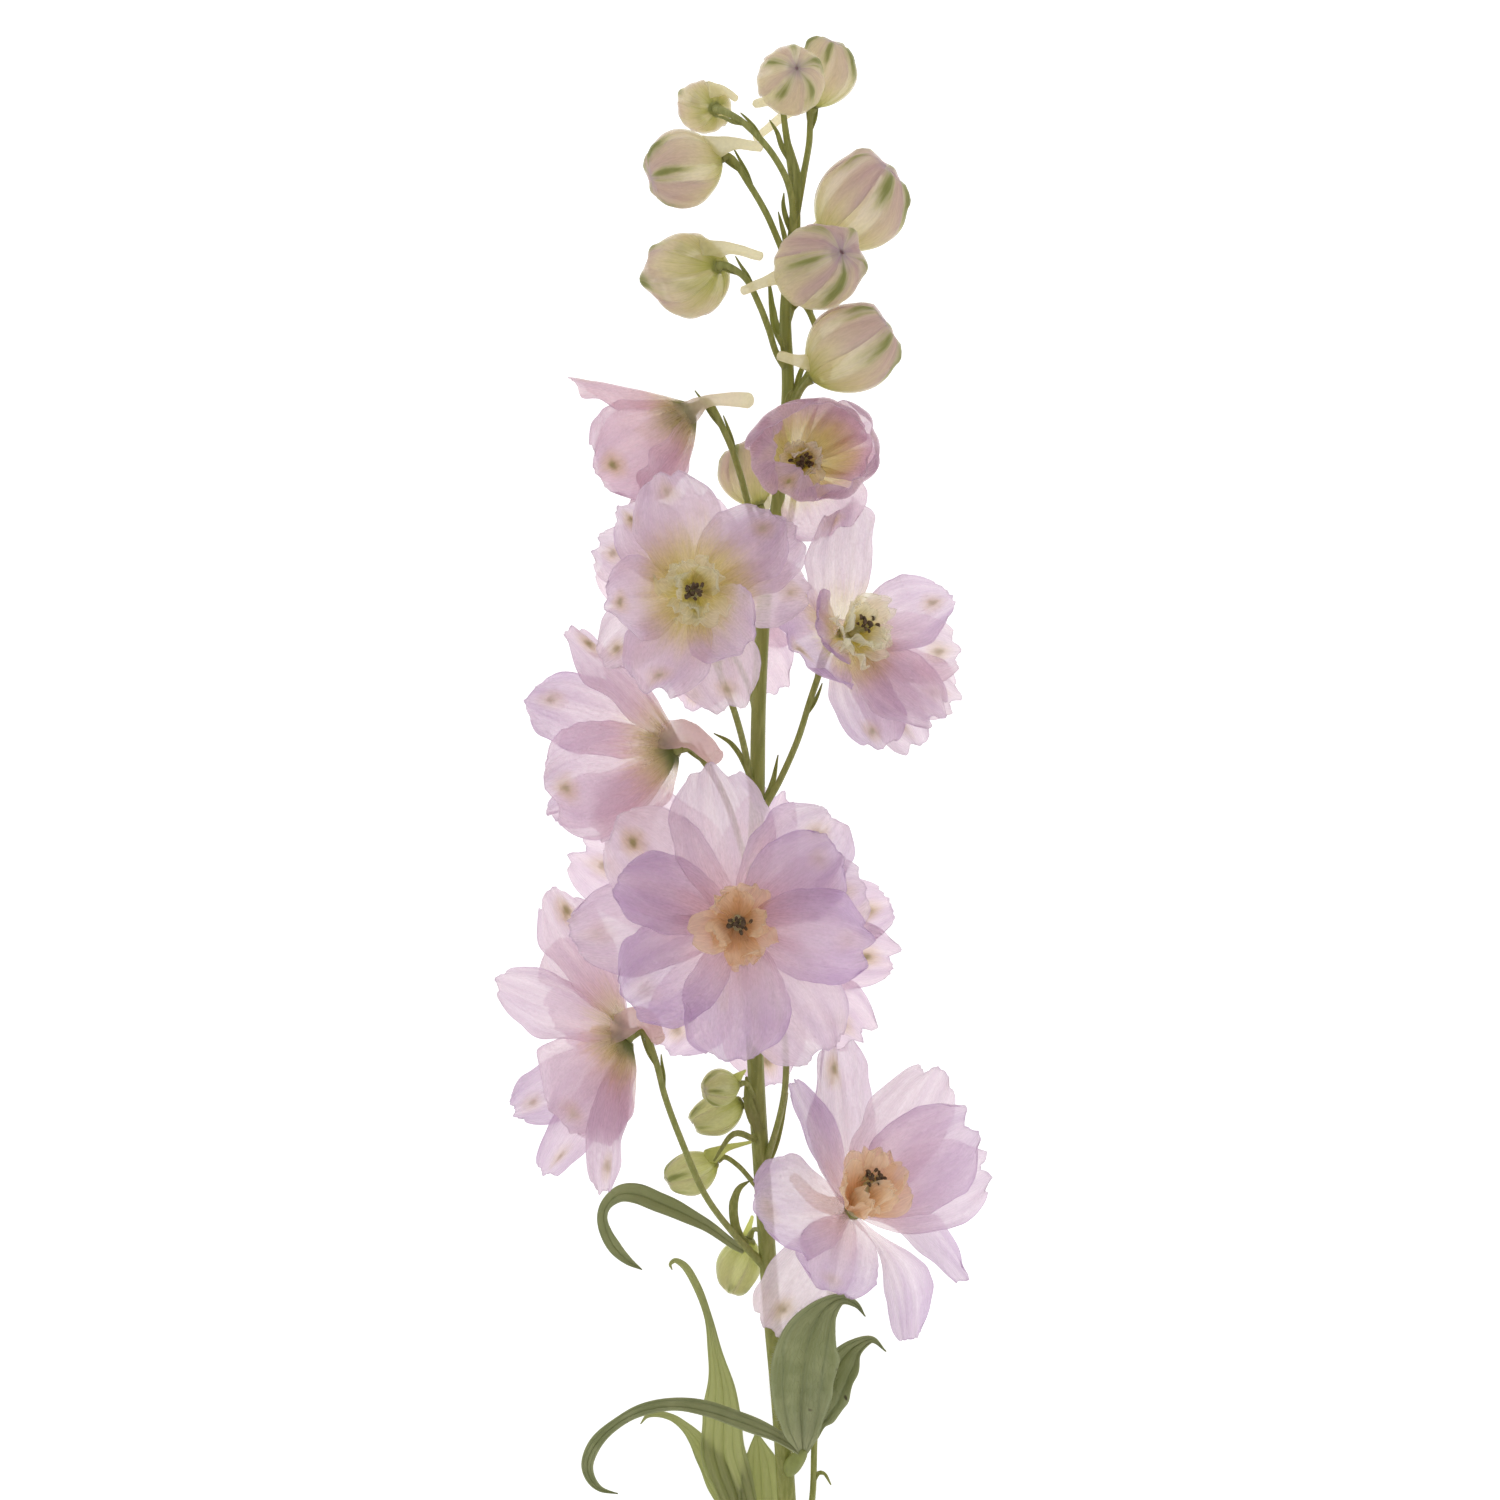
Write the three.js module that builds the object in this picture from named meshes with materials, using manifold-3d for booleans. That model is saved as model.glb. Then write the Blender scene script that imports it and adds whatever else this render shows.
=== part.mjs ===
// A cut delphinium flower spike, lying on its back on a flat surface.
// Millimetres. +Y runs up the spike from the cut foot, +Z points away from the surface, and every
// place below is measured from the middle of the cut foot at the level of the surface.
// Each flower is three solids: its sepals with their spur, its ragged inner petals (the bee) and
// its stamens. Each bud and each leaf is one solid. The stem is one solid with its flower stalks.
import * as THREE from "three";
import { mergeVertices } from "three/addons/utils/BufferGeometryUtils.js";
import Module from "manifold-3d";

const wasm = await Module();
wasm.setup();

// Driving dimensions.
const SEPAL_THICKNESS = 0.7;
const SEPAL_ROLL = 0.14; // radians
const SEPAL_ROOT = { radius: 1.7, outer: -0.5, inner: 0.5 }; // from the heart, by whorl
const PETAL_CUP = 0.22; // how far a petal's sides rise, as a share of its half width
const LEAF_CUP = 0.12; // the same for a leaf's lobe or a bract, as a share of its width
const LEAF_THICKNESS = 0.7;
const BRACT_THICKNESS = 0.7;
const SEAT_GAP = 0.35; // between a stalk's tip and the flower or bud that it carries
const STALK_RADIUS = 0.8;
const STALK_TIP_RADIUS = 1.1;
const STALK_SEAT = 1.5; // the straight stretch of a stalk before its tip
const SPUR_RADIUS = 1.5;
const RECEPTACLE = { radius: 2.8, front: 1, back: 2.2, shoulder: -0.6 };
const BEE = {
  petals: 3,
  turn: 0.37, // of the step from petal to petal
  disc: { radius: 1.9, from: 1.35, to: 2.1 },
  root: 1.3,
  width: 5.2,
  thickness: 0.65,
  bow: 0.05,
  bulge: 0.12,
};
const STAMENS = {
  count: 3,
  turn: 0.3,
  disc: { radius: 1, from: 2.45, to: 3.1 },
  root: 0.5,
  reach: 1.5,
  height: 6.5,
  rod: 0.45,
};
const BUD = {
  shares: [0, 0.1, 0.35, 0.65, 0.92, 1], // rings, as shares of the length
  sides: 10,
  ribs: 5,
  ribDepth: 0.07,
  ribTwist: 2,
  spurRoot: 0.3,
  spurShare: 0.2, // the spur's thickness, as a share of the bud's radius
};
const HUB = { side: 1.5, top: 2.2 }; // the swollen foot of a leaf, above its widest place

// Each flower's sepals: [tip x, y, z, width, bow, bulge], the outer whorl first. The tips are
// places in the spike's frame. bow hollows a sepal towards the flower's front, and bulge swells a
// cup outwards. The spur runs by its knee to its end. The two flowers that face the surface have a
// fourth row of faces in each sepal, because its tip is pressed flat there.
const BLOOMS = {
  lower_right: {
    heart: [13, 81.5, 44],
    facing: [0.45, 0.4, 0.8],
    spur: [[6.5, 83, 40], [1, 88, 37]],
    bee: { reach: 8, height: 6.5 },
    outer: 5,
    sepals: [
      [9, 117.5, 43, 15, 0.1, 0],
      [31, 111, 42, 18, 0.1, 0.05],
      [41.5, 90, 36, 17, 0.12, 0],
      [25.5, 54, 44, 12, 0.05, 0],
      [-4.5, 56.5, 38, 16, -0.05, 0],
      [0.5, 109, 56, 10, 0.1, 0],
      [38, 99.5, 43, 19, 0.12, 0],
      [37, 66.5, 42, 11, 0.1, 0],
      [12, 66, 59, 18, 0.12, 0],
      [-7, 81, 60, 19, 0.12, 0],
    ],
  },
  lower_left: {
    heart: [-34, 119, 56],
    facing: [-0.8, -0.3, -0.47],
    spur: [[-30.5, 123, 61], [-27.5, 119, 64]],
    bee: { reach: 4, height: 8 },
    outer: 5,
    sepals: [
      [-50, 149, 46, 15, 0.05, 0],
      [-60.5, 131, 61, 17, 0.05, 0.05],
      [-46, 101, 65, 20, 0, 0.16],
      [-38.5, 86.5, 57, 12, 0.05, 0.05],
      [-40, 139, 34, 15, 0.05, 0.05],
      [-57, 104, 59, 14, 0.05, 0.2],
      [-51.5, 91, 56, 14, 0.05, 0.12],
      [-37, 96.5, 49, 12, 0.05, 0.08],
      [-50, 121, 35, 16, 0.05, 0.18],
    ],
  },
  large_front: {
    heart: [-11, 143, 72],
    facing: [0.05, 0, 1],
    spur: [[-14, 137, 67], [-14, 125, 55]],
    bee: { reach: 9.5, height: 4.5 },
    outer: 6,
    sepals: [
      [-16.5, 175, 74, 20, 0.1, 0],
      [-36.5, 163, 75, 19, 0.1, 0],
      [-45, 140, 74, 18, 0.1, 0],
      [6.5, 116, 73, 20, 0.1, 0],
      [15.5, 150.5, 70, 17, 0.1, 0],
      [9, 165, 71, 19, 0.1, 0],
      [-35.5, 152, 79, 15, 0.14, 0],
      [-33.5, 127, 80, 20, 0.14, 0],
      [-11.5, 115, 80, 20, 0.14, 0],
      [16, 138.5, 80, 18, 0.14, 0],
      [9, 159, 80, 17, 0.14, 0],
    ],
  },
  large_back: {
    heart: [-11, 138, 16],
    facing: [0, 0.05, -1],
    spur: [[-15.5, 142, 21], [-22, 147, 27]],
    bee: { reach: 7, height: 5 },
    outer: 8,
    rows: 4,
    sepals: [
      [-46, 157, -7, 16, 0.05, 0],
      [-28, 167.5, -7, 16, 0.05, 0],
      [-1.5, 168.5, -7, 16, 0.05, 0],
      [22.5, 145, -7, 15, 0.05, 0],
      [23, 133, -7, 15, 0.05, 0],
      [16, 116, -7, 16, 0.05, 0],
      [-3.5, 105.5, -7, 17, 0.05, 0],
      [-27.5, 113.5, -7, 17, 0.05, 0],
    ],
  },
  middle_left: {
    heart: [-24, 179, 58],
    facing: [-0.85, 0.02, -0.53],
    spur: [[-20, 183.5, 62], [-15, 179, 66]],
    bee: { reach: 4, height: 8 },
    outer: 5,
    sepals: [
      [-46, 204, 57, 16, 0.05, 0.05],
      [-50, 170, 66, 23, 0, 0.18],
      [-39, 160, 57, 17, 0.02, 0.12],
      [-38, 164, 37, 15, 0.05, 0.1],
      [-40, 197, 37, 15, 0.05, 0.1],
      [-54, 190, 61, 18, 0.05, 0.18],
      [-50.5, 164.5, 50, 14, 0.05, 0.2],
    ],
  },
  middle_right: {
    heart: [11, 202, 60],
    facing: [0.6, 0.3, 0.74],
    spur: [[5.5, 206.5, 57], [0, 213, 54]],
    bee: { reach: 8, height: 7 },
    outer: 5,
    sepals: [
      [9.5, 229, 67, 17, 0.1, 0],
      [35, 199, 50, 14, 0.1, 0],
      [34.5, 188.5, 51, 13, 0.1, 0],
      [26.5, 179.5, 56, 13, 0.1, 0],
      [1, 192.5, 74, 15, 0.12, 0],
      [33.5, 210.5, 57, 17, 0.1, 0],
      [30.5, 185, 60, 17, 0.1, 0],
      [18.5, 179, 68, 16, 0.1, 0],
    ],
  },
  middle_front: {
    heart: [-20, 211, 76],
    facing: [0, 0, 1],
    spur: [[-15.5, 214, 71], [-11, 222, 64]],
    bee: { reach: 7.5, height: 5 },
    outer: 6,
    sepals: [
      [-35, 228, 77, 14, 0.1, 0],
      [-40, 220.5, 74, 13, 0.1, 0],
      [-38.5, 197, 74, 13, 0.1, 0],
      [-11.5, 187, 75, 16, 0.1, 0],
      [3.5, 211, 75, 13, 0.1, 0],
      [1.5, 223, 78, 14, 0.1, 0],
      [-26.5, 235, 81, 17, 0.14, 0],
      [-3, 226, 82, 16, 0.14, 0],
      [-8.5, 200, 83, 16, 0.14, 0],
      [-28.5, 190.5, 82, 17, 0.14, 0],
      [-37.5, 208.5, 82, 16, 0.14, 0],
    ],
  },
  middle_back: {
    heart: [-16.5, 208, 16],
    facing: [0, 0, -1],
    spur: [[-20.5, 211.5, 21], [-20, 221, 29]],
    bee: { reach: 5.5, height: 6 },
    outer: 7,
    rows: 4,
    sepals: [
      [-40, 220, -7, 15, 0.05, 0],
      [-37, 197, -7, 15, 0.05, 0],
      [-21, 187.5, -7, 15, 0.05, 0],
      [-2, 191.5, -7, 15, 0.05, 0],
      [7, 209, -7, 15, 0.05, 0],
      [0.5, 228.5, -7, 15, 0.05, 0],
      [-19.5, 234.5, -7, 15, 0.05, 0],
    ],
  },
  upper_front: {
    heart: [2, 238, 67],
    facing: [0.1, -0.05, 1],
    spur: [[6, 242, 63], [9, 245, 57]],
    bee: { reach: 5, height: 7 },
    outer: 7,
    sepals: [
      [-5.5, 248.5, 84, 15, 0, 0.25],
      [6, 250, 84, 15, 0, 0.25],
      [16, 244, 82, 14, 0, 0.25],
      [16.5, 235, 82, 14, 0, 0.25],
      [8, 225, 81, 16, 0, 0.22],
      [-4, 228, 83, 14, 0, 0.25],
      [-9, 239, 83, 15, 0, 0.25],
    ],
  },
  upper_left: {
    heart: [-21, 249, 58],
    facing: [-0.86, -0.5, -0.1],
    spur: [[-17, 254, 59.5], [-9, 251, 61.5]],
    bee: { reach: 4.5, height: 8.5 },
    outer: 5,
    sepals: [
      [-45.5, 255.5, 56, 13, 0, 0.05],
      [-39.5, 235, 64, 17, 0, 0.2],
      [-39.5, 236, 47, 17, 0, 0.2],
      [-30, 231, 61, 14, 0, 0.22],
      [-33, 230.5, 51, 15, 0, 0.22],
    ],
  },
};

// Closed buds: the place of the stalk's seat, the tip, the greatest radius, the spur's way.
const BUDS = {
  bud_1: { base: [5, 313.5, 47], tip: [10, 327, 50], radius: 6.4, spur: [[-1, 312, 45], [-7, 307, 46]] },
  bud_2: {
    base: [-1.5, 316, 54],
    tip: [1.5, 318, 71],
    radius: 7,
    spur: [[-4.5, 314, 54], [-7, 313, 57]],
  },
  bud_3: {
    base: [-15.5, 312, 56.5],
    tip: [-20, 314, 43.5],
    radius: 5.5,
    spur: [[-14, 316, 55], [-11.5, 314.5, 54]],
  },
  bud_4: {
    base: [-14.5, 301.5, 57],
    tip: [-30, 297, 61],
    radius: 8.2,
    spur: [[-12, 304.5, 59], [-6.5, 304, 57]],
  },
  bud_5: {
    base: [-15, 279, 58],
    tip: [-27, 276.5, 45],
    radius: 9,
    spur: [[-13, 283, 56], [-6.5, 281.5, 55]],
  },
  bud_6: {
    base: [8, 284.5, 50],
    tip: [21, 300, 55],
    radius: 9.6,
    spur: [[4.5, 286.5, 47], [1, 284, 44]],
  },
  bud_7: {
    base: [1, 275, 58],
    tip: [9.5, 281, 76],
    radius: 8.8,
    spur: [[-3.5, 276, 64], [-9.5, 273.5, 66]],
  },
  bud_8: {
    base: [4.5, 255.5, 60],
    tip: [20, 267.5, 63],
    radius: 9.2,
    spur: [[2, 259, 63], [-2, 260, 64]],
  },
  bud_9: {
    base: [-6.5, 230, 43],
    tip: [-11.5, 243, 41.5],
    radius: 6,
    spur: [[-4, 232, 40], [-3, 236, 38]],
  },
  small_bud_1: {
    base: [-11, 108, 40],
    tip: [-18.5, 107, 44],
    radius: 4,
    spur: [[-10.5, 110, 41], [-9.5, 111, 43]],
  },
  small_bud_2: {
    base: [-10, 104, 33.5],
    tip: [-20.5, 98.5, 34],
    radius: 4.4,
    spur: [[-12, 104, 32], [-10, 103, 30]],
  },
  small_bud_3: {
    base: [-15.5, 91.5, 34],
    tip: [-26, 86.5, 35.5],
    radius: 4.7,
    spur: [[-13.5, 94.5, 36], [-9, 95, 37]],
  },
  small_bud_4: {
    base: [-8.5, 74, 20],
    tip: [-13, 62.5, 17],
    radius: 4.8,
    spur: [[-9, 75, 17], [-8, 78, 15]],
  },
};

// The stem's way from the cut foot to its tip, with its radius.
const STEM = [
  [0.5, -6, 2, 2],
  [-0.5, 16.5, 9, 1.95],
  [-2, 39, 15.5, 1.9],
  [-4, 61, 22, 1.85],
  [-5.5, 83, 28, 1.8],
  [-7, 106.5, 34, 1.75],
  [-8, 136.5, 40, 1.7],
  [-7, 166, 44, 1.6],
  [-6.5, 191, 47, 1.5],
  [-5, 214, 49, 1.45],
  [-2, 235, 51, 1.35],
  [-0.5, 253.5, 52, 1.3],
  [-1, 270.5, 53, 1.2],
  [1, 288, 54, 1.1],
  [0.5, 299.5, 54, 0.9],
];

// Flower stalks: from the stem's middle by these places to the seat of what they carry.
const STALKS = {
  lower_right: [
    [0.3, -3, 3.2], [3, 6.5, 5], [5, 16.5, 7], [5.5, 30.5, 10], [6.5, 45, 14], [8.5, 61, 21],
    [10, 73, 31],
  ],
  lower_left: [
    [-5, 68, 24], [-12, 76, 31], [-18, 85, 41], [-22.5, 96, 49], [-26, 106, 56], [-28, 114, 60],
  ],
  large_front: [[-5.8, 89, 29.5], [-3.5, 96, 34], [-1, 108, 44], [-1.5, 120, 52], [-5.5, 133, 60]],
  large_back: [[-7, 109.5, 34.6], [-8, 118.5, 36], [-10, 127.5, 32]],
  middle_left: [[-7.5, 150, 41.9], [-10, 157.5, 47], [-13, 167, 54], [-16.5, 174, 59.5]],
  middle_right: [[-7, 163, 43.6], [-5, 167, 46], [-2.5, 171.5, 48], [1.5, 180.5, 51], [4.5, 190, 54]],
  middle_front: [[-7, 166, 44], [-8.5, 173, 46.5], [-9.5, 178.5, 50], [-12, 187.5, 58], [-16.5, 199, 64]],
  middle_back: [[-6.6, 182, 46], [-8, 190, 41], [-12, 199, 32]],
  upper_front: [[-5, 213, 48.9], [-3, 219, 52], [0, 227, 57]],
  upper_left: [[-4.5, 217, 49.2], [-7, 224, 51], [-9, 230.5, 54], [-10.5, 236, 57], [-13, 243, 60]],
  bud_1: [[1, 290, 54], [3, 300, 51], [4, 306, 47.5]],
  bud_2: [[0.6, 298, 54], [-1, 308, 52]],
  bud_3: [
    [0.2, 284, 53.8], [0.5, 291, 57], [-0.5, 296, 60], [-2.5, 300, 63], [-5.5, 304, 65],
    [-10, 308.5, 64],
  ],
  bud_4: [[0, 279, 53.5], [-2.5, 284.5, 56], [-5, 290, 58], [-8.5, 296, 58]],
  bud_5: [[-0.6, 258, 52.3], [-2.8, 261, 54], [-4.5, 266, 57], [-6.5, 271, 59.5], [-9.5, 276.5, 61]],
  bud_6: [[-0.8, 268, 52.8], [1.5, 274.5, 50], [4, 280, 48.5]],
  bud_7: [[-0.4, 251, 51.9], [4, 257.5, 52.5], [6, 263, 52.5], [4, 270, 52]],
  bud_8: [[-0.8, 246.5, 51.6], [0.8, 250.5, 55.5]],
  bud_9: [[-4, 218.5, 49.4], [-5.2, 222, 46.5], [-6, 226, 44.5]],
  small_bud_1: [[-6.8, 101, 32.6], [-8, 106, 36]],
  small_bud_2: [[-6.7, 101.5, 32.7]],
  small_bud_3: [[-5.6, 84, 28.3], [-8, 87, 31], [-11, 90.5, 33.5]],
  small_bud_4: [[-4.9, 74, 25.5], [-6.5, 76, 23]],
};

// Bracts on the stem: [x, y, z, width] from the root, sunk in the stem or stalk, to the tip.
const BRACTS = [
  [[-7, 168, 45.5, 1.8], [-9.5, 176, 48, 1.8], [-13, 180, 50, 1.4], [-16, 181.5, 50, 0.8]],
  [[-6.8, 165, 44.5, 1.8], [-4, 170.5, 44.5, 1.8], [-2.5, 177.5, 46.5, 0.8]],
  [[-6.5, 98, 33, 2.4], [-8.5, 103, 35.5, 2.2], [-9.2, 109.5, 37.2, 0.9]],
  [[-6, 88.5, 30, 2], [-3, 96, 31.5, 2], [-0.5, 106, 34, 0.9]],
  [
    [-5.5, 72, 26, 2.4], [-9, 76, 27, 2.6], [-10.8, 81, 31, 2.4], [-10, 86.5, 34, 1.6],
    [-8.6, 88.2, 34, 0.8],
  ],
  [[-6.5, 95.5, 32, 1.2], [-12, 97.5, 40, 1.2], [-16, 92, 42.5, 0.8]],
  [[-0.6, 262, 53.5, 1.8], [-3, 267, 51, 1.8], [-4.5, 277, 50, 0.8]],
  [[0.5, 288, 55, 1.8], [1.5, 297, 56.5, 1.6], [-0.5, 306, 58, 0.8]],
];

// Leaves: each lobe runs through [x, y, z, width, turn], where turn is its roll about its midrib.
// hub holds the place and radius of the foot that a leaf's lobes spread from.
const LEAVES = {
  leaf_right: {
    hub: [-1.2, 23.8, 15.25, 1.9],
    lobes: [
      [
        [-0.9, 24.2, 15.8, 2.5, 0], [3, 34.5, 26, 12, 0], [4.5, 45.5, 36, 14, 0],
        [7, 56.5, 45, 9, 0], [10, 61.5, 48, 3, 0.3], [13.5, 61, 47.5, 1.6, 0.4],
        [16, 58, 45, 0.8, 0.4],
      ],
      [
        [-0.9, 24, 15.6, 2.5, 0], [8, 34.5, 22, 9, 0.1], [13, 43.5, 29, 10, 0.2],
        [16, 50, 34, 6, 0.3], [19.5, 52, 36, 2, 0.4], [21.5, 49.5, 35, 0.8, 0.4],
      ],
      [
        [-1.5, 24.3, 16, 2, 0.2], [-7.5, 33, 24, 3.2, 0.5], [-14.5, 36.5, 27, 4, 0.6],
        [-22, 39, 27, 4, 0.6], [-31, 38, 24, 3.4, 0.5], [-37.5, 35, 20, 3, 0.4],
        [-42, 29, 15, 2.8, 0.4], [-43, 23.5, 10.5, 2.4, 0.4], [-41.5, 19.5, 8, 1.8, 0.4],
        [-37, 18.5, 7, 0.8, 0.4],
      ],
    ],
  },
  leaf_left: {
    hub: [-7.5, 4.5, 2.6, 1.6],
    lobes: [
      [
        [-8, 5, 2.8, 2.5, 0], [-10.5, 16.5, 4.5, 8, 0], [-12.5, 26.5, 7, 9, 0],
        [-14, 35.5, 11, 8.5, -0.2], [-15.5, 46.5, 15.5, 5, -0.3], [-18, 57.5, 21, 2.4, -0.3],
        [-21, 66.5, 25, 1.8, -0.3], [-25, 69, 26, 1.3, -0.3], [-25.5, 66, 25, 0.7, -0.3],
      ],
      [
        [-8, 5.5, 2.6, 2.5, 0], [-15, 17.5, 3.8, 7, 0], [-20, 27.5, 7, 4.5, 0],
        [-25, 34.5, 10.5, 2, 0], [-29.5, 35.5, 11, 1.4, 0], [-32, 32, 10, 0.7, 0],
      ],
      [
        [-7.5, 5, 2.4, 2.5, 0], [-6, 13, 2.6, 8.5, 0], [-6, 21, 4.2, 9, 0],
        [-6.5, 27.5, 6.5, 5, 0], [-7, 31, 9, 1.2, 0],
      ],
    ],
    petiole: [[-7.5, 4.5, 2.6], [-5.5, 0.5, 1.8], [-2.4, -2.8, 1.7]],
  },
  leaf_strap: {
    lobes: [
      [
        [-9.6, 71.8, 26, 1.6, 0], [-13, 74.5, 26.5, 3, 0], [-20.5, 80, 29, 4.2, 0],
        [-27.5, 83.5, 30, 4.6, 0], [-33.5, 84.5, 29, 4, 0.3], [-37.5, 82, 27, 3, 0.5],
        [-39, 77, 25, 3.4, 0.3], [-37.5, 72, 24, 2.6, 0], [-34.5, 69, 24, 1.4, 0],
        [-31.5, 67.5, 25, 0.7, 0],
      ],
    ],
  },
};

const MATERIALS = {
  sepal: { color: 0xc9b2cf, roughness: 0.6 },
  bee: { color: 0xe3d6a6, roughness: 0.6 },
  stamen: { color: 0x4a3a2a, roughness: 0.7 },
  bud: { color: 0xd9cdb4, roughness: 0.6 },
  smallBud: { color: 0xaab077, roughness: 0.6 },
  stem: { color: 0x7f8a4d, roughness: 0.55 },
  leaf: { color: 0x6d7c56, roughness: 0.6 },
};

const vec = (p) => new THREE.Vector3(p[0], p[1], p[2]);
const UP = new THREE.Vector3(0, 0, 1);
const TAU = 2 * Math.PI;

// ---- from triangles to solids and back ----

function weld(geometry, tolerance) {
  const merged = mergeVertices(geometry, tolerance);
  return new wasm.Manifold(
    new wasm.Mesh({
      numProp: 3,
      vertProperties: merged.attributes.position.array,
      triVerts: new Uint32Array(merged.index.array),
    }),
  );
}

function solid(points, triangles) {
  return weld(new THREE.BufferGeometry().setFromPoints(points).setIndex(triangles), 1e-4);
}

function geometryOf(body) {
  const { vertProperties, triVerts } = body.getMesh();
  return new THREE.BufferGeometry()
    .setAttribute("position", new THREE.BufferAttribute(vertProperties, 3))
    .setIndex(new THREE.BufferAttribute(triVerts, 1));
}

// Joins solids into one body. Tiny pockets that are sealed between crossing blades are filled.
function fuse(solids) {
  const whole = weld(geometryOf(solids.reduce((sum, piece) => sum.add(piece))), 1e-3);
  return whole.decompose().sort((a, b) => b.volume() - a.volume())[0];
}

function meshOf(name, body, material) {
  const mesh = new THREE.Mesh(geometryOf(body), new THREE.MeshStandardMaterial(material));
  mesh.name = name;
  return mesh;
}

// ---- basic forms ----

// Rings of points, closed round and capped at both ends. A ring of one point is a pole.
function lathed(rings) {
  const points = rings.flat();
  const triangles = [];
  let start = 0;
  rings.slice(1).forEach((ring, k) => {
    const under = rings[k];
    const next = start + under.length;
    const sides = Math.max(ring.length, under.length);
    for (let j = 0; j < sides; j++) {
      const j1 = (j + 1) % sides;
      const a = start + (j % under.length);
      const b = start + (j1 % under.length);
      const c = next + (j % ring.length);
      const d = next + (j1 % ring.length);
      if (under.length > 1) triangles.push(a, b, d);
      if (ring.length > 1) triangles.push(a, d, c);
    }
    start = next;
  });
  return solid(points, triangles);
}

function middle(ring) {
  return ring.reduce((sum, p) => sum.add(p), new THREE.Vector3()).divideScalar(ring.length);
}

// A round, tapering rod through the given points.
function rod(points, radii, sides, steps) {
  const curve = new THREE.CatmullRomCurve3(points, false, "centripetal");
  const { normals, binormals } = curve.computeFrenetFrames(steps, false);
  const rings = [];
  for (let i = 0; i <= steps; i++) {
    const at = curve.getPointAt(i / steps);
    const along = (i / steps) * (radii.length - 1);
    const k = Math.min(Math.floor(along), radii.length - 2);
    const radius = THREE.MathUtils.lerp(radii[k], radii[k + 1], along - k);
    const ring = [];
    for (let j = 0; j < sides; j++) {
      const angle = (j / sides) * TAU;
      ring.push(
        at
          .clone()
          .addScaledVector(normals[i], radius * Math.cos(angle))
          .addScaledVector(binormals[i], radius * Math.sin(angle)),
      );
    }
    rings.push(ring);
  }
  return lathed([[middle(rings[0])], ...rings, [middle(rings[steps])]]);
}

// A turned form on an axis: outline holds [radius, height] pairs from one pole to the other.
function turned(at, axis, outline, sides, radiusAt = (r) => r) {
  const turn = new THREE.Quaternion().setFromUnitVectors(UP, axis);
  return lathed(
    outline.map(([r, h], i) => {
      const ring = [];
      const count = r === 0 ? 1 : sides;
      for (let j = 0; j < count; j++) {
        const angle = (j / sides) * TAU;
        const radius = radiusAt(r, angle, i);
        ring.push(
          new THREE.Vector3(radius * Math.cos(angle), radius * Math.sin(angle), h)
            .applyQuaternion(turn)
            .add(at),
        );
      }
      return ring;
    }),
  );
}

// A thin blade over a grid of middle points. Both faces are split into the same triangles, and
// what would reach below the surface is pressed flat on it.
function blade(pointAt, rows, columns, thickness) {
  const front = [];
  const back = [];
  const step = 1e-3;
  for (let i = 0; i <= rows; i++) {
    for (let j = 0; j <= columns; j++) {
      const u = i / rows;
      const v = (2 * j) / columns - 1;
      const at = pointAt(u, v);
      const du = pointAt(Math.min(u + step, 1), v).sub(pointAt(Math.max(u - step, 0), v));
      const dv = pointAt(u, v + step).sub(pointAt(u, v - step));
      const normal = du.cross(dv).normalize();
      const faceward = at.clone().addScaledVector(normal, thickness / 2);
      const backward = at.clone().addScaledVector(normal, -thickness / 2);
      const [under, over] = faceward.z < backward.z ? [faceward, backward] : [backward, faceward];
      if (under.z < 0) {
        under.z = 0;
        over.z = Math.max(over.z, thickness);
      }
      front.push(faceward);
      back.push(backward);
    }
  }
  const wide = columns + 1;
  const count = front.length;
  const triangles = [];
  for (let i = 0; i < rows; i++) {
    for (let j = 0; j < columns; j++) {
      const a = i * wide + j;
      const b = a + wide;
      triangles.push(a, b, b + 1, a, b + 1, a + 1);
      triangles.push(count + a, count + b + 1, count + b, count + a, count + a + 1, count + b + 1);
    }
  }
  const rim = [];
  for (let j = 0; j < columns; j++) rim.push(j);
  for (let i = 0; i < rows; i++) rim.push(i * wide + columns);
  for (let j = columns; j > 0; j--) rim.push(rows * wide + j);
  for (let i = rows; i > 0; i--) rim.push(i * wide);
  rim.forEach((p, k) => {
    const q = rim[(k + 1) % rim.length];
    triangles.push(p, q, count + q, p, count + q, count + p);
  });
  return solid([...front, ...back], triangles);
}

// ---- flowers ----

// How wide a petal is along its length, as a share of its greatest width: a narrow claw, the
// widest place past the middle and a blunt tip.
function petalOutline(u) {
  const body = Math.sin(Math.PI * Math.pow(u, 1.25)) ** 0.62;
  return Math.max(body || 0, u < 0.5 ? 0.17 : 0.34);
}

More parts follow.
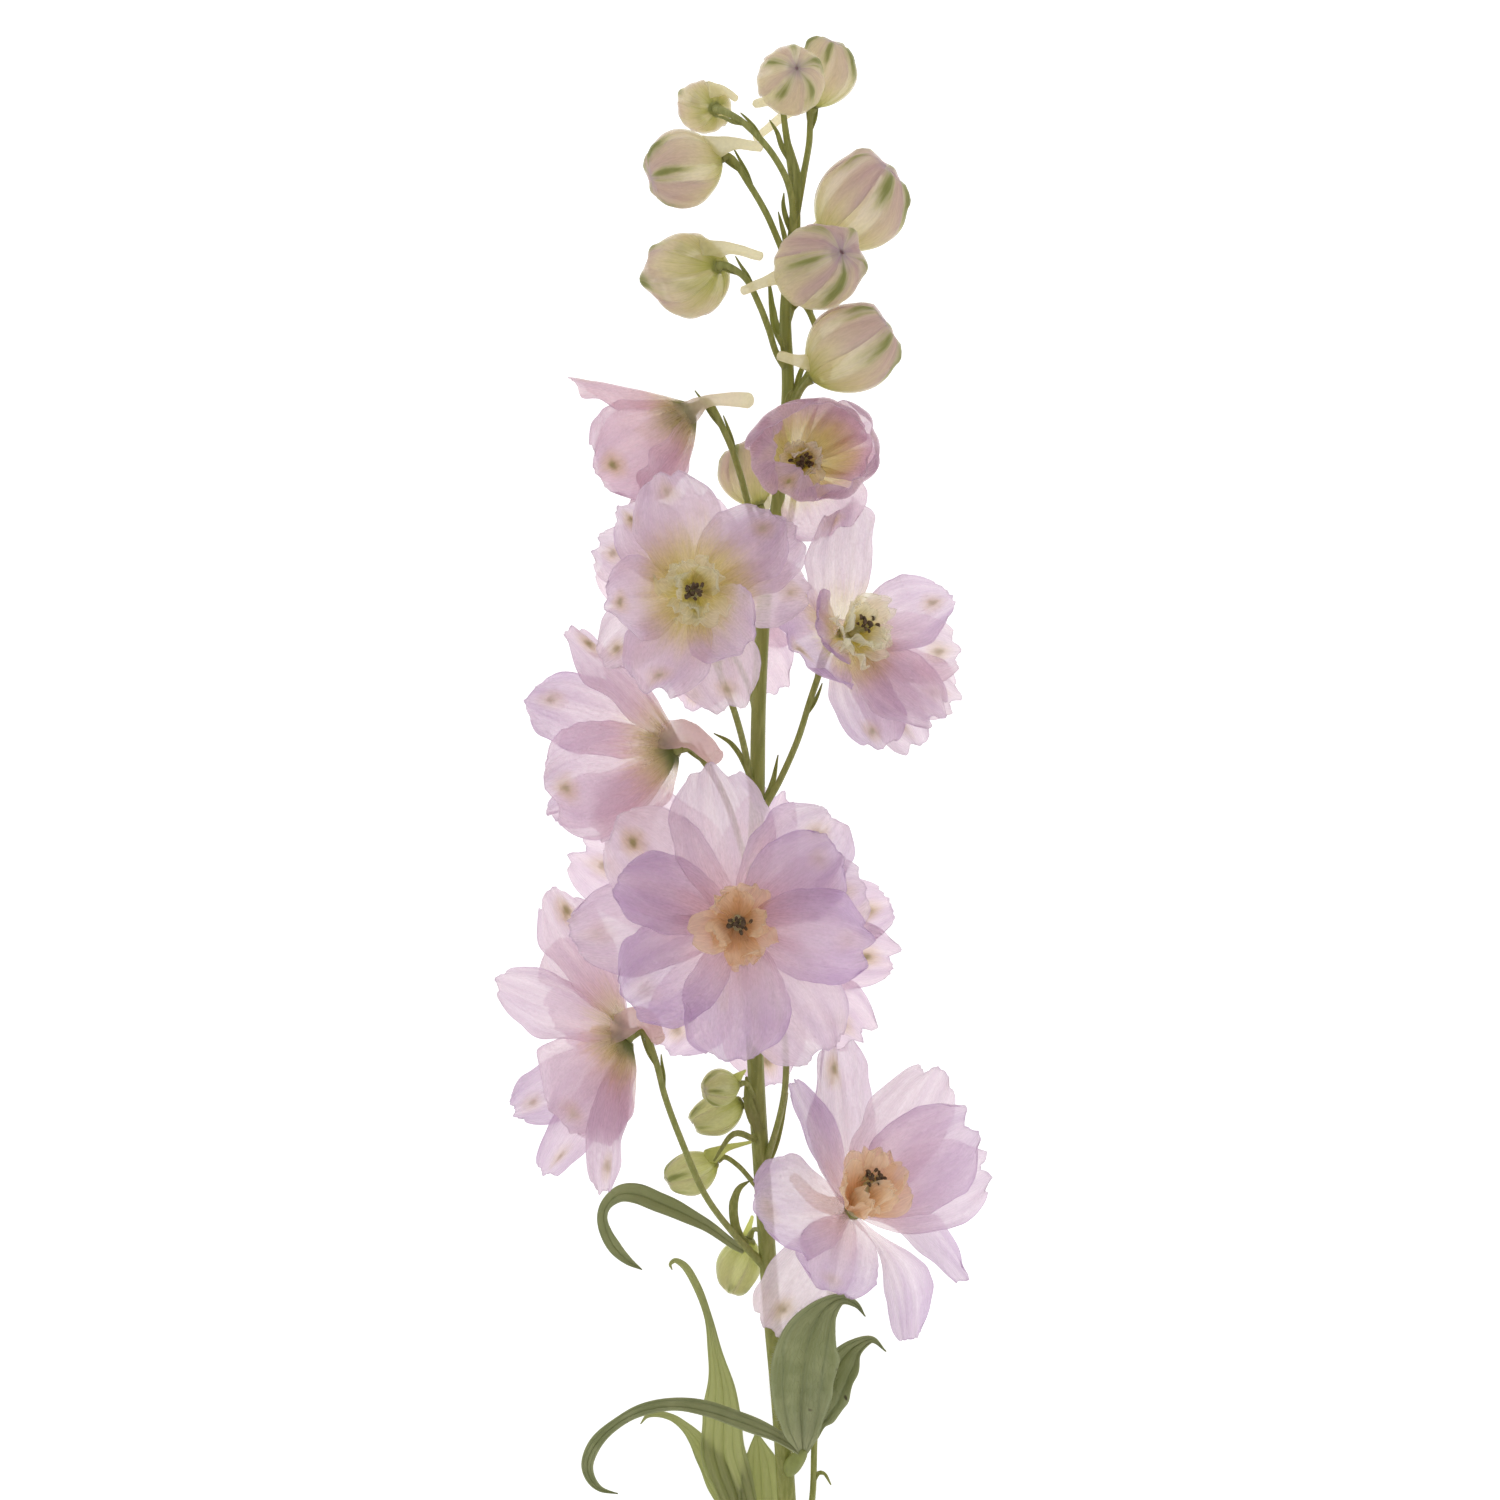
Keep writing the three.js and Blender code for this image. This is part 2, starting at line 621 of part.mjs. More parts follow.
// A petal's middle surface. Its spine bends from the heart to the tip in the plane of the
// flower's axis, and its sides rise a little towards the flower's front. The roll tilts each
// petal of a whorl the same way, so that its one side lies over the next petal.
function petalSurface(heart, facing, tip, width, bow, bulge, root, roll = 0) {
  const reach = tip.clone().sub(heart);
  const outward = reach.clone().addScaledVector(facing, -reach.dot(facing)).normalize();
  const side = facing.clone().cross(outward);
  const from = heart.clone().addScaledVector(outward, root.radius).addScaledVector(facing, root.height);
  const length = from.distanceTo(tip);
  const control = from
    .clone()
    .add(tip)
    .multiplyScalar(0.5)
    .addScaledVector(facing, -bow * length)
    .addScaledVector(outward, bulge * length);
  const spine = new THREE.QuadraticBezierCurve3(from, control, tip);
  return (u, v) => {
    const half = (width / 2) * petalOutline(u);
    const along = spine.getTangent(u);
    const across = side.clone().applyAxisAngle(along, roll);
    const normal = along.clone().cross(across);
    return spine
      .getPoint(u)
      .addScaledVector(across, half * v)
      .addScaledVector(normal, PETAL_CUP * half * v * v);
  };
}

function sepals(flower) {
  const heart = vec(flower.heart);
  const facing = vec(flower.facing).normalize();
  const { radius, front, back, shoulder } = RECEPTACLE;
  const outline = [
    [0, -back],
    [radius * 0.6, -back * 0.8],
    [radius, shoulder],
    [radius * 0.9, front],
    [0, front],
  ];
  const pieces = [turned(heart, facing, outline, 7)];
  flower.sepals.forEach(([x, y, z, width, bow, bulge], i) => {
    const { radius: rootRadius, outer, inner } = SEPAL_ROOT;
    const root = { radius: rootRadius, height: i < flower.outer ? outer : inner };
    const surface = petalSurface(heart, facing, vec([x, y, z]), width, bow, bulge, root, SEPAL_ROLL);
    pieces.push(blade(surface, flower.rows || 3, 2, SEPAL_THICKNESS));
  });
  const knee = vec(flower.spur[0]).sub(heart);
  const rim = knee.addScaledVector(facing, -knee.dot(facing)).setLength(radius * 0.7).add(heart);
  const spurWay = [rim, ...flower.spur.map(vec)];
  pieces.push(rod(spurWay, [SPUR_RADIUS, SPUR_RADIUS, SPUR_RADIUS * 0.6], 5, 3));
  return fuse(pieces);
}

// The flat disc that a ring of small parts grows from, across the flower's axis.
function disc(heart, facing, { radius, from, to }, sides) {
  return turned(heart, facing, [[0, from], [radius, from], [radius, to], [0, to]], sides);
}

// The ways outward of a ring of small parts, evenly round the flower's axis.
function ringOf(facing, count, turn) {
  const aside = facing.clone().cross(new THREE.Vector3(0, 1, 0.01)).normalize();
  return Array.from({ length: count }, (_, i) =>
    aside.clone().applyAxisAngle(facing, ((i + turn) / count) * TAU),
  );
}

function bee(flower) {
  const heart = vec(flower.heart);
  const facing = vec(flower.facing).normalize();
  const { reach, height } = flower.bee;
  const { from, to } = BEE.disc;
  const root = { radius: BEE.root, height: (from + to) / 2 };
  const petals = ringOf(facing, BEE.petals, BEE.turn).map((out) => {
    const tip = heart.clone().addScaledVector(out, reach).addScaledVector(facing, height);
    const surface = petalSurface(heart, facing, tip, BEE.width, BEE.bow, BEE.bulge, root);
    return blade(surface, 2, 2, BEE.thickness);
  });
  return fuse([disc(heart, facing, BEE.disc, 6), ...petals]);
}

function stamens(flower) {
  const heart = vec(flower.heart);
  const facing = vec(flower.facing).normalize();
  const { from, to } = STAMENS.disc;
  const threads = ringOf(facing, STAMENS.count, STAMENS.turn).map((out) => {
    const at = (sideways, up) => heart.clone().addScaledVector(out, sideways).addScaledVector(facing, up);
    const way = [at(STAMENS.root, (from + to) / 2), at(STAMENS.reach, STAMENS.height)];
    return rod(way, [STAMENS.rod, STAMENS.rod * 1.6], 4, 1);
  });
  return fuse([disc(heart, facing, STAMENS.disc, 5), ...threads]);
}

// ---- buds ----

function bud({ base, tip, radius, spur }) {
  const from = vec(base);
  const axis = vec(tip).sub(from);
  const length = axis.length();
  axis.normalize();
  const outline = BUD.shares.map((u) => [
    u === 0 || u === 1 ? 0 : radius * Math.sin(Math.PI * u ** 0.85) ** 0.6,
    u * length,
  ]);
  const ribbed = (r, angle, i) =>
    r * (1 + BUD.ribDepth * Math.cos(BUD.ribs * angle + BUD.shares[i] * BUD.ribTwist));
  const body = turned(from, axis, outline, BUD.sides, ribbed);
  const root = from.clone().addScaledVector(axis, length * BUD.spurRoot);
  const way = [root, ...spur.map(vec)];
  const thick = Math.min(SPUR_RADIUS, radius * BUD.spurShare);
  return fuse([body, rod(way, [thick, thick, thick * 0.7], 5, 3)]);
}

// ---- stem, stalks and bracts ----

// Where a stalk's tip stops, just short of what it carries, and the way it points there.
function seatOf(name) {
  const carried = BLOOMS[name] || BUDS[name];
  const isBloom = name in BLOOMS;
  const at = vec(isBloom ? carried.heart : carried.base);
  const way = isBloom ? vec(carried.facing) : vec(carried.tip).sub(at);
  way.normalize();
  return { at: at.addScaledVector(way, -(isBloom ? RECEPTACLE.back : 0) - SEAT_GAP), way };
}

function stalk(name) {
  const { at, way } = seatOf(name);
  const before = at.clone().addScaledVector(way, -STALK_SEAT);
  const places = [...STALKS[name].map(vec), before, at];
  const steps = Math.min(7, places.length);
  return rod(places, [STALK_RADIUS, STALK_RADIUS, STALK_TIP_RADIUS], 4, steps);
}

// A narrow blade through [x, y, z, width, turn] stations, its face as near upward as it can be.
function strap(stations, rows, columns, thickness) {
  const spine = new THREE.CatmullRomCurve3(stations.map(vec), false, "centripetal");
  const last = stations.length - 1;
  return blade(
    (u, v) => {
      const k = Math.min(Math.floor(u * last), last - 1);
      const share = u * last - k;
      const width = THREE.MathUtils.lerp(stations[k][3], stations[k + 1][3], share);
      const turn = THREE.MathUtils.lerp(stations[k][4] || 0, stations[k + 1][4] || 0, share);
      const along = spine.getTangent(u);
      const side = UP.clone().cross(along).normalize().applyAxisAngle(along, turn);
      const normal = along.clone().cross(side);
      return spine
        .getPoint(u)
        .addScaledVector(side, (v * width) / 2)
        .addScaledVector(normal, (LEAF_CUP * width * v * v) / 2);
    },
    rows,
    columns,
    thickness,
  );
}

function mainStem() {
  const pieces = [rod(STEM.map(vec), STEM.map((p) => p[3]), 8, 15)];
  for (const name of Object.keys(STALKS)) pieces.push(stalk(name));
  for (const bract of BRACTS) pieces.push(strap(bract, bract.length, 1, BRACT_THICKNESS));
  return fuse(pieces);
}

function leaf({ hub, lobes, petiole }) {
  const pieces = lobes.map((lobe) => strap(lobe, lobe.length - 1, 2, LEAF_THICKNESS));
  if (hub) {
    const radius = hub[3];
    pieces.push(turned(vec(hub), UP, [[0, -radius], [radius, 0], [radius, HUB.side], [0, HUB.top]], 6));
  }
  if (petiole) pieces.push(rod(petiole.map(vec), [1.2, 1.1, 1], 6, 3));
  return fuse(pieces);
}

// ---- the whole spike ----

const spike = new THREE.Group();
spike.add(meshOf("main_stem", mainStem(), MATERIALS.stem));
for (const [name, flower] of Object.entries(BLOOMS)) {
  spike.add(meshOf(`bloom_${name}_sepals`, sepals(flower), MATERIALS.sepal));
  spike.add(meshOf(`bloom_${name}_bee`, bee(flower), MATERIALS.bee));
  spike.add(meshOf(`bloom_${name}_stamens`, stamens(flower), MATERIALS.stamen));
}
for (const [name, form] of Object.entries(BUDS)) {
  spike.add(meshOf(name, bud(form), name.startsWith("small") ? MATERIALS.smallBud : MATERIALS.bud));
}
for (const [name, form] of Object.entries(LEAVES)) {
  spike.add(meshOf(name, leaf(form), MATERIALS.leaf));
}

// The frame's origin is the middle of the box's underside.
const box = new THREE.Box3().setFromObject(spike);
spike.position.set(-(box.min.x + box.max.x) / 2, -(box.min.y + box.max.y) / 2, -box.min.z);

export default spike;
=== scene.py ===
"""A cut delphinium flower spike that lies on its back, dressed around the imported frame.

Lengths are in millimetres and are measured from the middle of the cut foot, at the level of the
surface: +Y runs up the spike and +Z away from the surface. metres() brings them into the frame.
"""
import math

import bpy
import numpy as np
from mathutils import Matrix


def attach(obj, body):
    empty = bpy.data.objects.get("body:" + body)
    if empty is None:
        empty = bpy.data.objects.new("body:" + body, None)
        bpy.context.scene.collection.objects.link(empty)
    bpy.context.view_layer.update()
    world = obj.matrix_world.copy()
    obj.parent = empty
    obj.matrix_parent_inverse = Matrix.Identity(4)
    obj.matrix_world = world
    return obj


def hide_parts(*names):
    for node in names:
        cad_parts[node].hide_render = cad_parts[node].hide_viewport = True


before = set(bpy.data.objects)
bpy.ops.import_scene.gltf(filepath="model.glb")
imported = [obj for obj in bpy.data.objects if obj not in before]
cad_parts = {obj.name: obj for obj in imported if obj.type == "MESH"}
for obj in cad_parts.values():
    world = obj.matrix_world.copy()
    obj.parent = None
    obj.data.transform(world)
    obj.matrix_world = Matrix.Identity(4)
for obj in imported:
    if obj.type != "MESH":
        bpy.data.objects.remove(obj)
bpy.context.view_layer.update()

FOOT = np.array([9.283, -160.203, 0.0])  # where the middle of the cut foot lies in the frame, mm
TAU = 2 * math.pi
UP = np.array([0.0, 0.0, 1.0])
ALMOST_UP = [0, 1, 0.01]  # up the spike, and never along a flower's facing

# ---- Sizes

SEPAL_THICKNESS = 0.24
SEPAL_ROLL = 0.14  # radians: each petal's one side lies over the next petal
SEPAL_ROOT = {"radius": 1.7, "outer": -0.5, "inner": 0.5}
PETAL_CUP = 0.22
PETAL_SPREAD = 1.1  # how much wider a petal is than its place says, for what its curl takes up
WIDEST = 0.62  # where along its length a petal is widest
CLAW = 0.17  # how wide its foot is, as a share of its greatest width
END = 0.55  # how much of the round end the last row of points spans
LEAF_THICKNESS = 0.42
LEAF_CUP = 0.12
BROAD_LEAF = 7  # lobes wider than this are broad ones
BRACT_THICKNESS = 0.36
BRACTEOLE_THICKNESS = 0.3
BUD_THICKNESS = 0.3
BEE_THICKNESS = 0.2
LOWEST = 0.03  # how near the surface a sheet may come
LOWEST_RIB = 0.02
LEAST_WIDTH = 0.14
LEAF_VEINS = 2.0
RIM_HALF = 0.15  # half of how broad a margin hairs grow on
FOOT_PROFILE = [  # radius and rise of the cut, from its rim inwards
    (1.86, -0.3), (1.95, -0.05), (1.9, 0.06), (1.72, 0.1), (1.5, 0.0), (1.1, -0.1), (0.6, -0.12),
    (0.2, -0.1),
]
PITH_RADIUS = 1.8
PITH_THICKNESS = 0.08
BARE_STALKS = ("upper_front", "bud_9", "bud_8")  # stalks with no bracteoles
SEAT_GAP = 0.35
STALK_SEAT = 1.5
RECEPTACLE = [(-2.4, 1.0), (-1.6, 1.2), (-0.7, 1.5), (0.0, 1.95), (0.6, 1.9), (1.1, 1.2)]
RECEPTACLE_BACK = 2.2
SPUR_RADII = (2.1, 1.7, 1.1)  # at its mouth, its knee and its end
BEE_ROOT = (1.1, 1.725)
BEE_RINGS = [(5, 1.0, 0.95, 1.0), (4, 0.72, 1.15, 0.8), (2, 0.5, 1.3, 0.7)]  # count, reach, rise, width
CUP = {"wide": 13.4, "tall": 11.0, "high": 8.6, "lean": (2.0, 2.2, 0.0)}  # the half shut flower
CUP_FOOT = 0.12  # how far up the cup's wall its petals begin, in radians
CUP_ROUND = 2.7
BUD_SEPALS = 5
BUD_SPAN = math.radians(56)  # how far a bud's sepal reaches round it to each side
BUD_RIPE = ((295, 318), (1.0, 0.35))  # from how far up the spike, and by how much, buds blush less
STEM_HAIRS = {"Density": 1.1e6, "Length": 0.00042, "Root": 0.000022, "Seed": 2}
STAMENS = 20
STAMEN_TURN = 2.4  # radians from each stamen to the next
STAMEN_SIZES = (0.75, 1.1)
STAMEN_LEAN = 0.12
HAIR_SIZES = (0.55, 1.1)
HAIR_LEAN = 0.6
LUMPS = 420.0  # how fine the lumps on a rough rod are
NO_LEAN = (0, 0, 0)

# Points along and across each kind of sheet, and what sets the random draws of each apart.
SEPAL_GRID = (36, 28)
CUP_GRID = (34, 30)
BEE_GRID = (18, 18)
BUD_GRID = (27, 23)
SMALL_BUD_GRID = (21, 17)
SEEDS = {"bloom": 100, "bee": 300, "stamens": 500, "bud": 700, "stem": 900, "leaf": 950, "foot": 41}

CAMERA = {"at": (-8.4, 178.5, 1357.5), "lens": 150, "sensor": 36}
FLOOR = {"half": 4.0, "level": -0.0001, "grey": 0.5, "glow": 0.85}  # metres, under the spike
SKY_STRENGTH = 0.75
WHITE = (1, 1, 1, 1)

# ---- Places. A petal is tip x, y, z, width, bow and bulge, then what sets its looks.


def petal(x, y, z, width, bow=0.1, bulge=0.0, **looks):
    return {"tip": (x, y, z), "width": width, "bow": bow, "bulge": bulge, **looks}


def wrapped(turn, over, width, wall=1.0, **looks):
    """A petal of a half shut cup: the way it faces in degrees, how far it follows the cup's wall in
    radians from the cup's foot, its width, and how near the wall it lies."""
    return {"turn": turn, "over": over, "width": width, "wall": wall, **looks}


BLOOMS = {
    "lower_right": {
        "heart": (13, 81.5, 44),
        "facing": (0.45, 0.4, 0.8),
        "spur": [(6.5, 83, 40), (1, 88, 37)],
        "bee": {"reach": 8, "height": 6.5, "lean": (2.5, 6, 1)},
        "glow": 0.15,
        "violet": (0.4, 0.9),
        "rose": 0.05,
        "outer": 5,
        "petals": [
            petal(9, 117.5, 43, 18, 0.1, spot=0.8, point=0.5),
            petal(31, 111, 42, 18, 0.1, 0.05, blunt=0.6),
            petal(41.5, 90, 36, 17, 0.12, blunt=0.8),
            petal(25, 54.5, 44, 10, 0.05, blunt=0.4, cup=0.5, sway=0.17, slim=3.0, twist=0.3, tint=0.8),
            petal(-4.5, 56.5, 38, 16, -0.05, spot=0.7, point=0.3),
            petal(0.5, 109, 56, 8.5, 0.1, cup=0.5, tint=1.0),
            petal(38, 99.5, 43, 19, 0.12, blunt=0.8),
            petal(36.5, 66.5, 42, 9.5, 0.1, point=0.4, cup=0.4, sway=0.2, slim=3.0, twist=-0.4, tint=0.7),
            petal(8, 66, 59, 17, 0.12, blunt=0.7, spot=0.3),
            petal(-7, 83, 60, 21, 0.12, blunt=0.6, spot=0.35),
        ],
    },
    "lower_left": {
        "heart": (-34, 119, 56),
        "facing": (-0.8, -0.3, -0.47),
        "spur": [(-30.5, 123, 61), (-27.5, 119, 64)],
        "bee": {"reach": 4, "height": 8},
        "glow": 1.0,
        "violet": (0.4, 0.9),
        "rose": 0.5,
        "spur_radii": (2.8, 2.2, 1.5),
        "spur_rose": 1.0,
        "outer": 5,
        "petals": [
            petal(-50, 149, 46, 17, 0.05, spot=0.9, point=0.5, twist=-0.7),
            petal(-60.5, 131, 61, 17, 0.05, 0.05, point=0.2),
            petal(-47.5, 101.5, 66, 25, 0, 0.16, spot=0.5, point=0.7),
            petal(-38.5, 86.5, 57, 11, 0.05, 0.05, spot=0.6, blunt=0.2, sway=0.1),
            petal(-49, 138, 40, 17, 0.05, 0.05, twist=-0.8),
            petal(-57.5, 103.5, 59, 11.5, 0.05, 0.2, spot=0.5),
            petal(-51, 90, 56, 11.5, 0.05, 0.12, spot=0.6),
            petal(-37, 96.5, 49, 12, 0.05, 0.08),
            petal(-50, 121, 35, 16, 0.05, 0.18),
        ],
    },
    "large_front": {
        "heart": (-11, 143, 72),
        "facing": (0.05, 0, 1),
        "spur": [(-14, 137, 67), (-14, 125, 55)],
        "bee": {"reach": 9.5, "height": 4.5},
        "glow": 0.1,
        "violet": (0.5, 1.0),
        "rose": 0.0,
        "outer": 6,
        "petals": [
            petal(-16.5, 175, 74, 20, 0.1, point=0.6),
            petal(-36.5, 163, 75, 19, 0.1, spot=0.9, blunt=0.4),
            petal(-45, 140, 74, 18, 0.1, spot=0.25),
            petal(6.5, 116, 73, 20, 0.1, blunt=0.5),
            petal(15.5, 150.5, 70, 17, 0.1, blunt=0.5, spot=0.4),
            petal(9, 165, 71, 19, 0.1, blunt=0.5, spot=0.6),
            petal(-35.5, 152, 79, 15, 0.14, blunt=0.4),
            petal(-33.5, 127, 80, 20, 0.14, blunt=0.6, spot=0.25),
            petal(-11.5, 115, 80, 20, 0.14, blunt=0.7),
            petal(16, 138.5, 80, 18, 0.14, blunt=0.7, spot=0.2),
            petal(9, 159, 80, 17, 0.14, blunt=0.6, spot=0.3),
        ],
    },
    "large_back": {
        "heart": (-11, 138, 16),
        "facing": (0, 0.05, -1),
        "spur": [(-15.5, 142, 21), (-22, 147, 27)],
        "bee": {"reach": 7, "height": 5},
        "glow": 0.3,
        "violet": (0.1, 0.4),
        "rose": 0.2,
        "outer": 8,
        "petals": [
            petal(-46, 157, -7, 16, 0.05, spot=0.6, blunt=0.5),
            petal(-28, 167.5, -7, 16, 0.05),
            petal(-1.5, 168.5, -7, 16, 0.05),
            petal(22.5, 145, -7, 15, 0.05, spot=0.8, blunt=0.4),
            petal(23, 133, -7, 15, 0.05, spot=0.8, blunt=0.4),
            petal(16, 116, -7, 16, 0.05, spot=0.5, blunt=0.4),
            petal(-3.5, 105.5, -7, 17, 0.05, spot=0.8, point=0.4),
            petal(-27.5, 113.5, -7, 17, 0.05, spot=0.6),
        ],
    },
    "middle_left": {
        "heart": (-24, 179, 58),
        "facing": (-0.85, 0.02, -0.53),
        "spur": [(-21, 181.8, 62), (-15.8, 177.4, 65.5)],
        "bee": {"reach": 4, "height": 8},
        "glow": 1.0,
        "violet": (0.3, 0.8),
        "rose": 0.55,
        "spur_radii": (3.2, 2.7, 1.9),
        "spur_rose": 1.0,
        "outer": 5,
        "petals": [
            petal(-46, 204, 57, 16, 0.05, 0.05, spot=0.8, point=0.7),
            petal(-50, 170, 66, 23, 0, 0.18, spot=0.7),
            petal(-39, 160, 57, 17, 0.02, 0.12),
            petal(-38, 164, 37, 15, 0.05, 0.1),
            petal(-40, 197, 37, 15, 0.05, 0.1),
            petal(-54, 190, 61, 18, 0.05, 0.18, spot=0.5, point=0.3),
            petal(-50.5, 164.5, 50, 14, 0.05, 0.2),
        ],
    },
    "middle_right": {
        "heart": (11, 202, 60),
        "facing": (0.6, 0.3, 0.74),
        "spur": [(5.5, 206.5, 57), (0, 213, 54)],
        "bee": {"reach": 8, "height": 7, "lean": (2, 1, 0)},
        "glow": 1.1,
        "violet": (0.3, 0.7),
        "rose": 0.2,
        "outer": 5,
        "petals": [
            petal(11, 229, 67, 21, 0.1, blunt=0.6, cup=0.08, twist=0.0, frill=0.05),
            petal(35, 199, 50, 14, 0.1, spot=0.6, blunt=0.5),
            petal(34.5, 188.5, 51, 13, 0.1, spot=0.6, blunt=0.5),
            petal(26.5, 179.5, 56, 13, 0.1, spot=0.4),
            petal(1, 198.5, 74, 21, 0.12, spot=0.8, blunt=0.6, tint=0.9),
            petal(33.5, 210.5, 57, 14, 0.1, spot=0.6, point=0.6),
            petal(30.5, 185, 60, 17, 0.1, blunt=0.5),
            petal(18.5, 179, 68, 16, 0.1, spot=0.6),
            petal(5.5, 203, 70.5, 15, 0.12, 0.05, cup=0.4, tint=0.9, blunt=0.8),
        ],
    },
    "middle_front": {
        "heart": (-20, 211, 76),
        "facing": (0, 0, 1),
        "spur": [(-15.5, 214, 71), (-11, 222, 64)],
        "bee": {"reach": 7.5, "height": 5},
        "glow": 1.3,
        "violet": (0.1, 0.5),
        "rose": 0.05,
        "outer": 6,
        "petals": [
            petal(-35, 228, 77, 14, 0.1, spot=0.9, point=0.5),
            petal(-40, 220.5, 74, 13, 0.1, spot=0.6, blunt=0.4),
            petal(-38.5, 197, 74, 13, 0.1, spot=0.8),
            petal(-11.5, 187, 75, 16, 0.1, spot=0.6, point=0.3),
            petal(3.5, 211, 75, 13, 0.1, spot=0.5),
            petal(1.5, 223, 78, 14, 0.1, blunt=0.5),
            petal(-26.5, 235, 81, 17, 0.14, spot=0.5, point=0.6),
            petal(-3, 226, 82, 16, 0.14, spot=0.6, blunt=0.4),
            petal(-8.5, 200, 83, 16, 0.14, blunt=0.6, cup=0.5),
            petal(-28.5, 190.5, 82, 17, 0.14, spot=0.6, blunt=0.2),
            petal(-37.5, 208.5, 82, 16, 0.14, spot=0.7, blunt=0.4),
        ],
    },
    "middle_back": {
        "heart": (-16.5, 208, 16),
        "facing": (0, 0, -1),
        "spur": [(-20.5, 211.5, 21), (-20, 221, 29)],
        "bee": {"reach": 5.5, "height": 6},
        "glow": 0.3,
        "violet": (0.1, 0.4),
        "rose": 0.2,
        "outer": 7,
        "petals": [
            petal(-40, 220, -7, 15, 0.05, spot=0.5),
            petal(-37, 197, -7, 15, 0.05, spot=0.5),
            petal(-21, 187.5, -7, 15, 0.05, spot=0.7, point=0.4),
            petal(-2, 191.5, -7, 15, 0.05, blunt=0.4),
            petal(7, 209, -7, 15, 0.05, spot=0.4),
            petal(0.5, 228.5, -7, 15, 0.05, blunt=0.4),
            petal(-19.5, 234.5, -7, 15, 0.05, spot=0.5),
        ],
    },
    "upper_front": {
        "heart": (2, 238, 67),
        "facing": (0.1, -0.05, 1),
        "spur": [(6, 242, 63), (9, 245, 57)],
        "bee": {"reach": 5, "height": 7},
        "glow": 1.25,
        "violet": (0.1, 0.35),
        "rose": 0.8,
        "outer": 6,
        "petals": [
            wrapped(18, 2.05, 24),
            wrapped(78, 2.0, 24),
            wrapped(132, 2.25, 23),
            wrapped(186, 2.4, 23),
            wrapped(318, 2.2, 23),
            petal(9.5, 223.5, 68, 17, 0, 0.1, spot=0.9, blunt=0.5),
            wrapped(232, 2.65, 19, 0.94, spot=0.9),
            wrapped(278, 2.4, 14, 0.9, spot=0.4),
            wrapped(48, 1.8, 17, 0.9),
            wrapped(350, 1.9, 16, 0.88),
            wrapped(160, 2.2, 15, 0.92),
        ],
    },
    "upper_left": {
        "heart": (-21, 249, 58),
        "facing": (-0.86, -0.5, -0.1),
        "spur": [(-17.5, 250.9, 60), (-9, 251, 61.5)],
        "bee": {"reach": 4.5, "height": 8.5},
        "glow": 1.0,
        "violet": (0.05, 0.4),
        "rose": 1.0,
        "spur_radii": (2.0, 1.3, 1.6),
        "spur_rose": 0.0,
        "outer": 5,
        "petals": [
            petal(-46, 256, 56, 12, 0, 0.05, spot=0.6, point=1.3, cup=0.7, twist=-0.25),
            petal(-40, 236, 64, 20, 0, 0.2, spot=0.9),
            petal(-39.5, 236, 47, 17, 0, 0.2),
            petal(-30, 231, 61, 14, 0, 0.22, blunt=0.5),
            petal(-33, 230.5, 51, 15, 0, 0.22, blunt=0.4),
        ],
    },
}

BUDS = {
    "bud_1": ((5, 313.5, 47), (10, 327, 50), 6.4, [(-1, 312, 45), (-7, 307, 46)]),
    "bud_2": ((-1.5, 316, 54), (1.5, 318, 71), 7, [(-4.5, 314, 54), (-7, 313, 57)]),
    "bud_3": ((-15.5, 312, 56.5), (-20, 314, 43.5), 5.5, [(-14, 316, 55), (-11.5, 314.5, 54)]),
    "bud_4": ((-14.5, 301.5, 57), (-30, 297, 61), 8.2, [(-12, 304.5, 59), (-6.5, 304, 57)]),
    "bud_5": ((-15, 279, 58), (-27, 276.5, 45), 9, [(-13, 283, 56), (-6.5, 281.5, 55)]),
    "bud_6": ((8, 284.5, 50), (21, 300, 55), 9.6, [(4.5, 286.5, 47), (1, 284, 44)]),
    "bud_7": ((1, 275, 58), (9.5, 281, 76), 8.8, [(-3.5, 276, 64), (-9.5, 273.5, 66)]),
    "bud_8": ((4.5, 255.5, 60), (20, 267.5, 63), 9.2, [(2, 259, 63), (-2, 260, 64)]),
    "bud_9": ((-6.5, 230, 43), (-11.5, 243, 41.5), 6, [(-4, 232, 40), (-3, 236, 38)]),
    "small_bud_1": ((-11, 108, 40), (-18.5, 107, 44), 4, [(-10.5, 110, 41), (-9.5, 111, 43)]),
    "small_bud_2": ((-10, 104, 33.5), (-20.5, 98.5, 34), 4.4, [(-12, 104, 32), (-10, 103, 30)]),
    "small_bud_3": ((-15.5, 91.5, 34), (-26, 86.5, 35.5), 4.7, [(-13.5, 94.3, 36), (-8.6, 95.6, 37)]),
    "small_bud_4": ((-8.5, 74, 20), (-13, 62.5, 17), 4.8, [(-9, 75, 17), (-8, 78, 15)]),
}

STEM = [
    (0.5, -6, 2, 2),
    (-0.5, 16.5, 9, 1.95),
    (-2, 39, 15.5, 1.9),
    (-4, 61, 22, 1.85),
    (-5.5, 83, 28, 1.8),
    (-7, 106.5, 34, 1.75),
    (-8, 136.5, 40, 1.7),
    (-7, 166, 44, 1.6),
    (-6.5, 191, 47, 1.5),
    (-5, 214, 49, 1.45),
    (-2, 235, 51, 1.35),
    (-0.5, 253.5, 52, 1.3),
    (-1, 270.5, 53, 1.2),
    (1, 288, 54, 1.1),
    (0.5, 299.5, 54, 0.9),
]

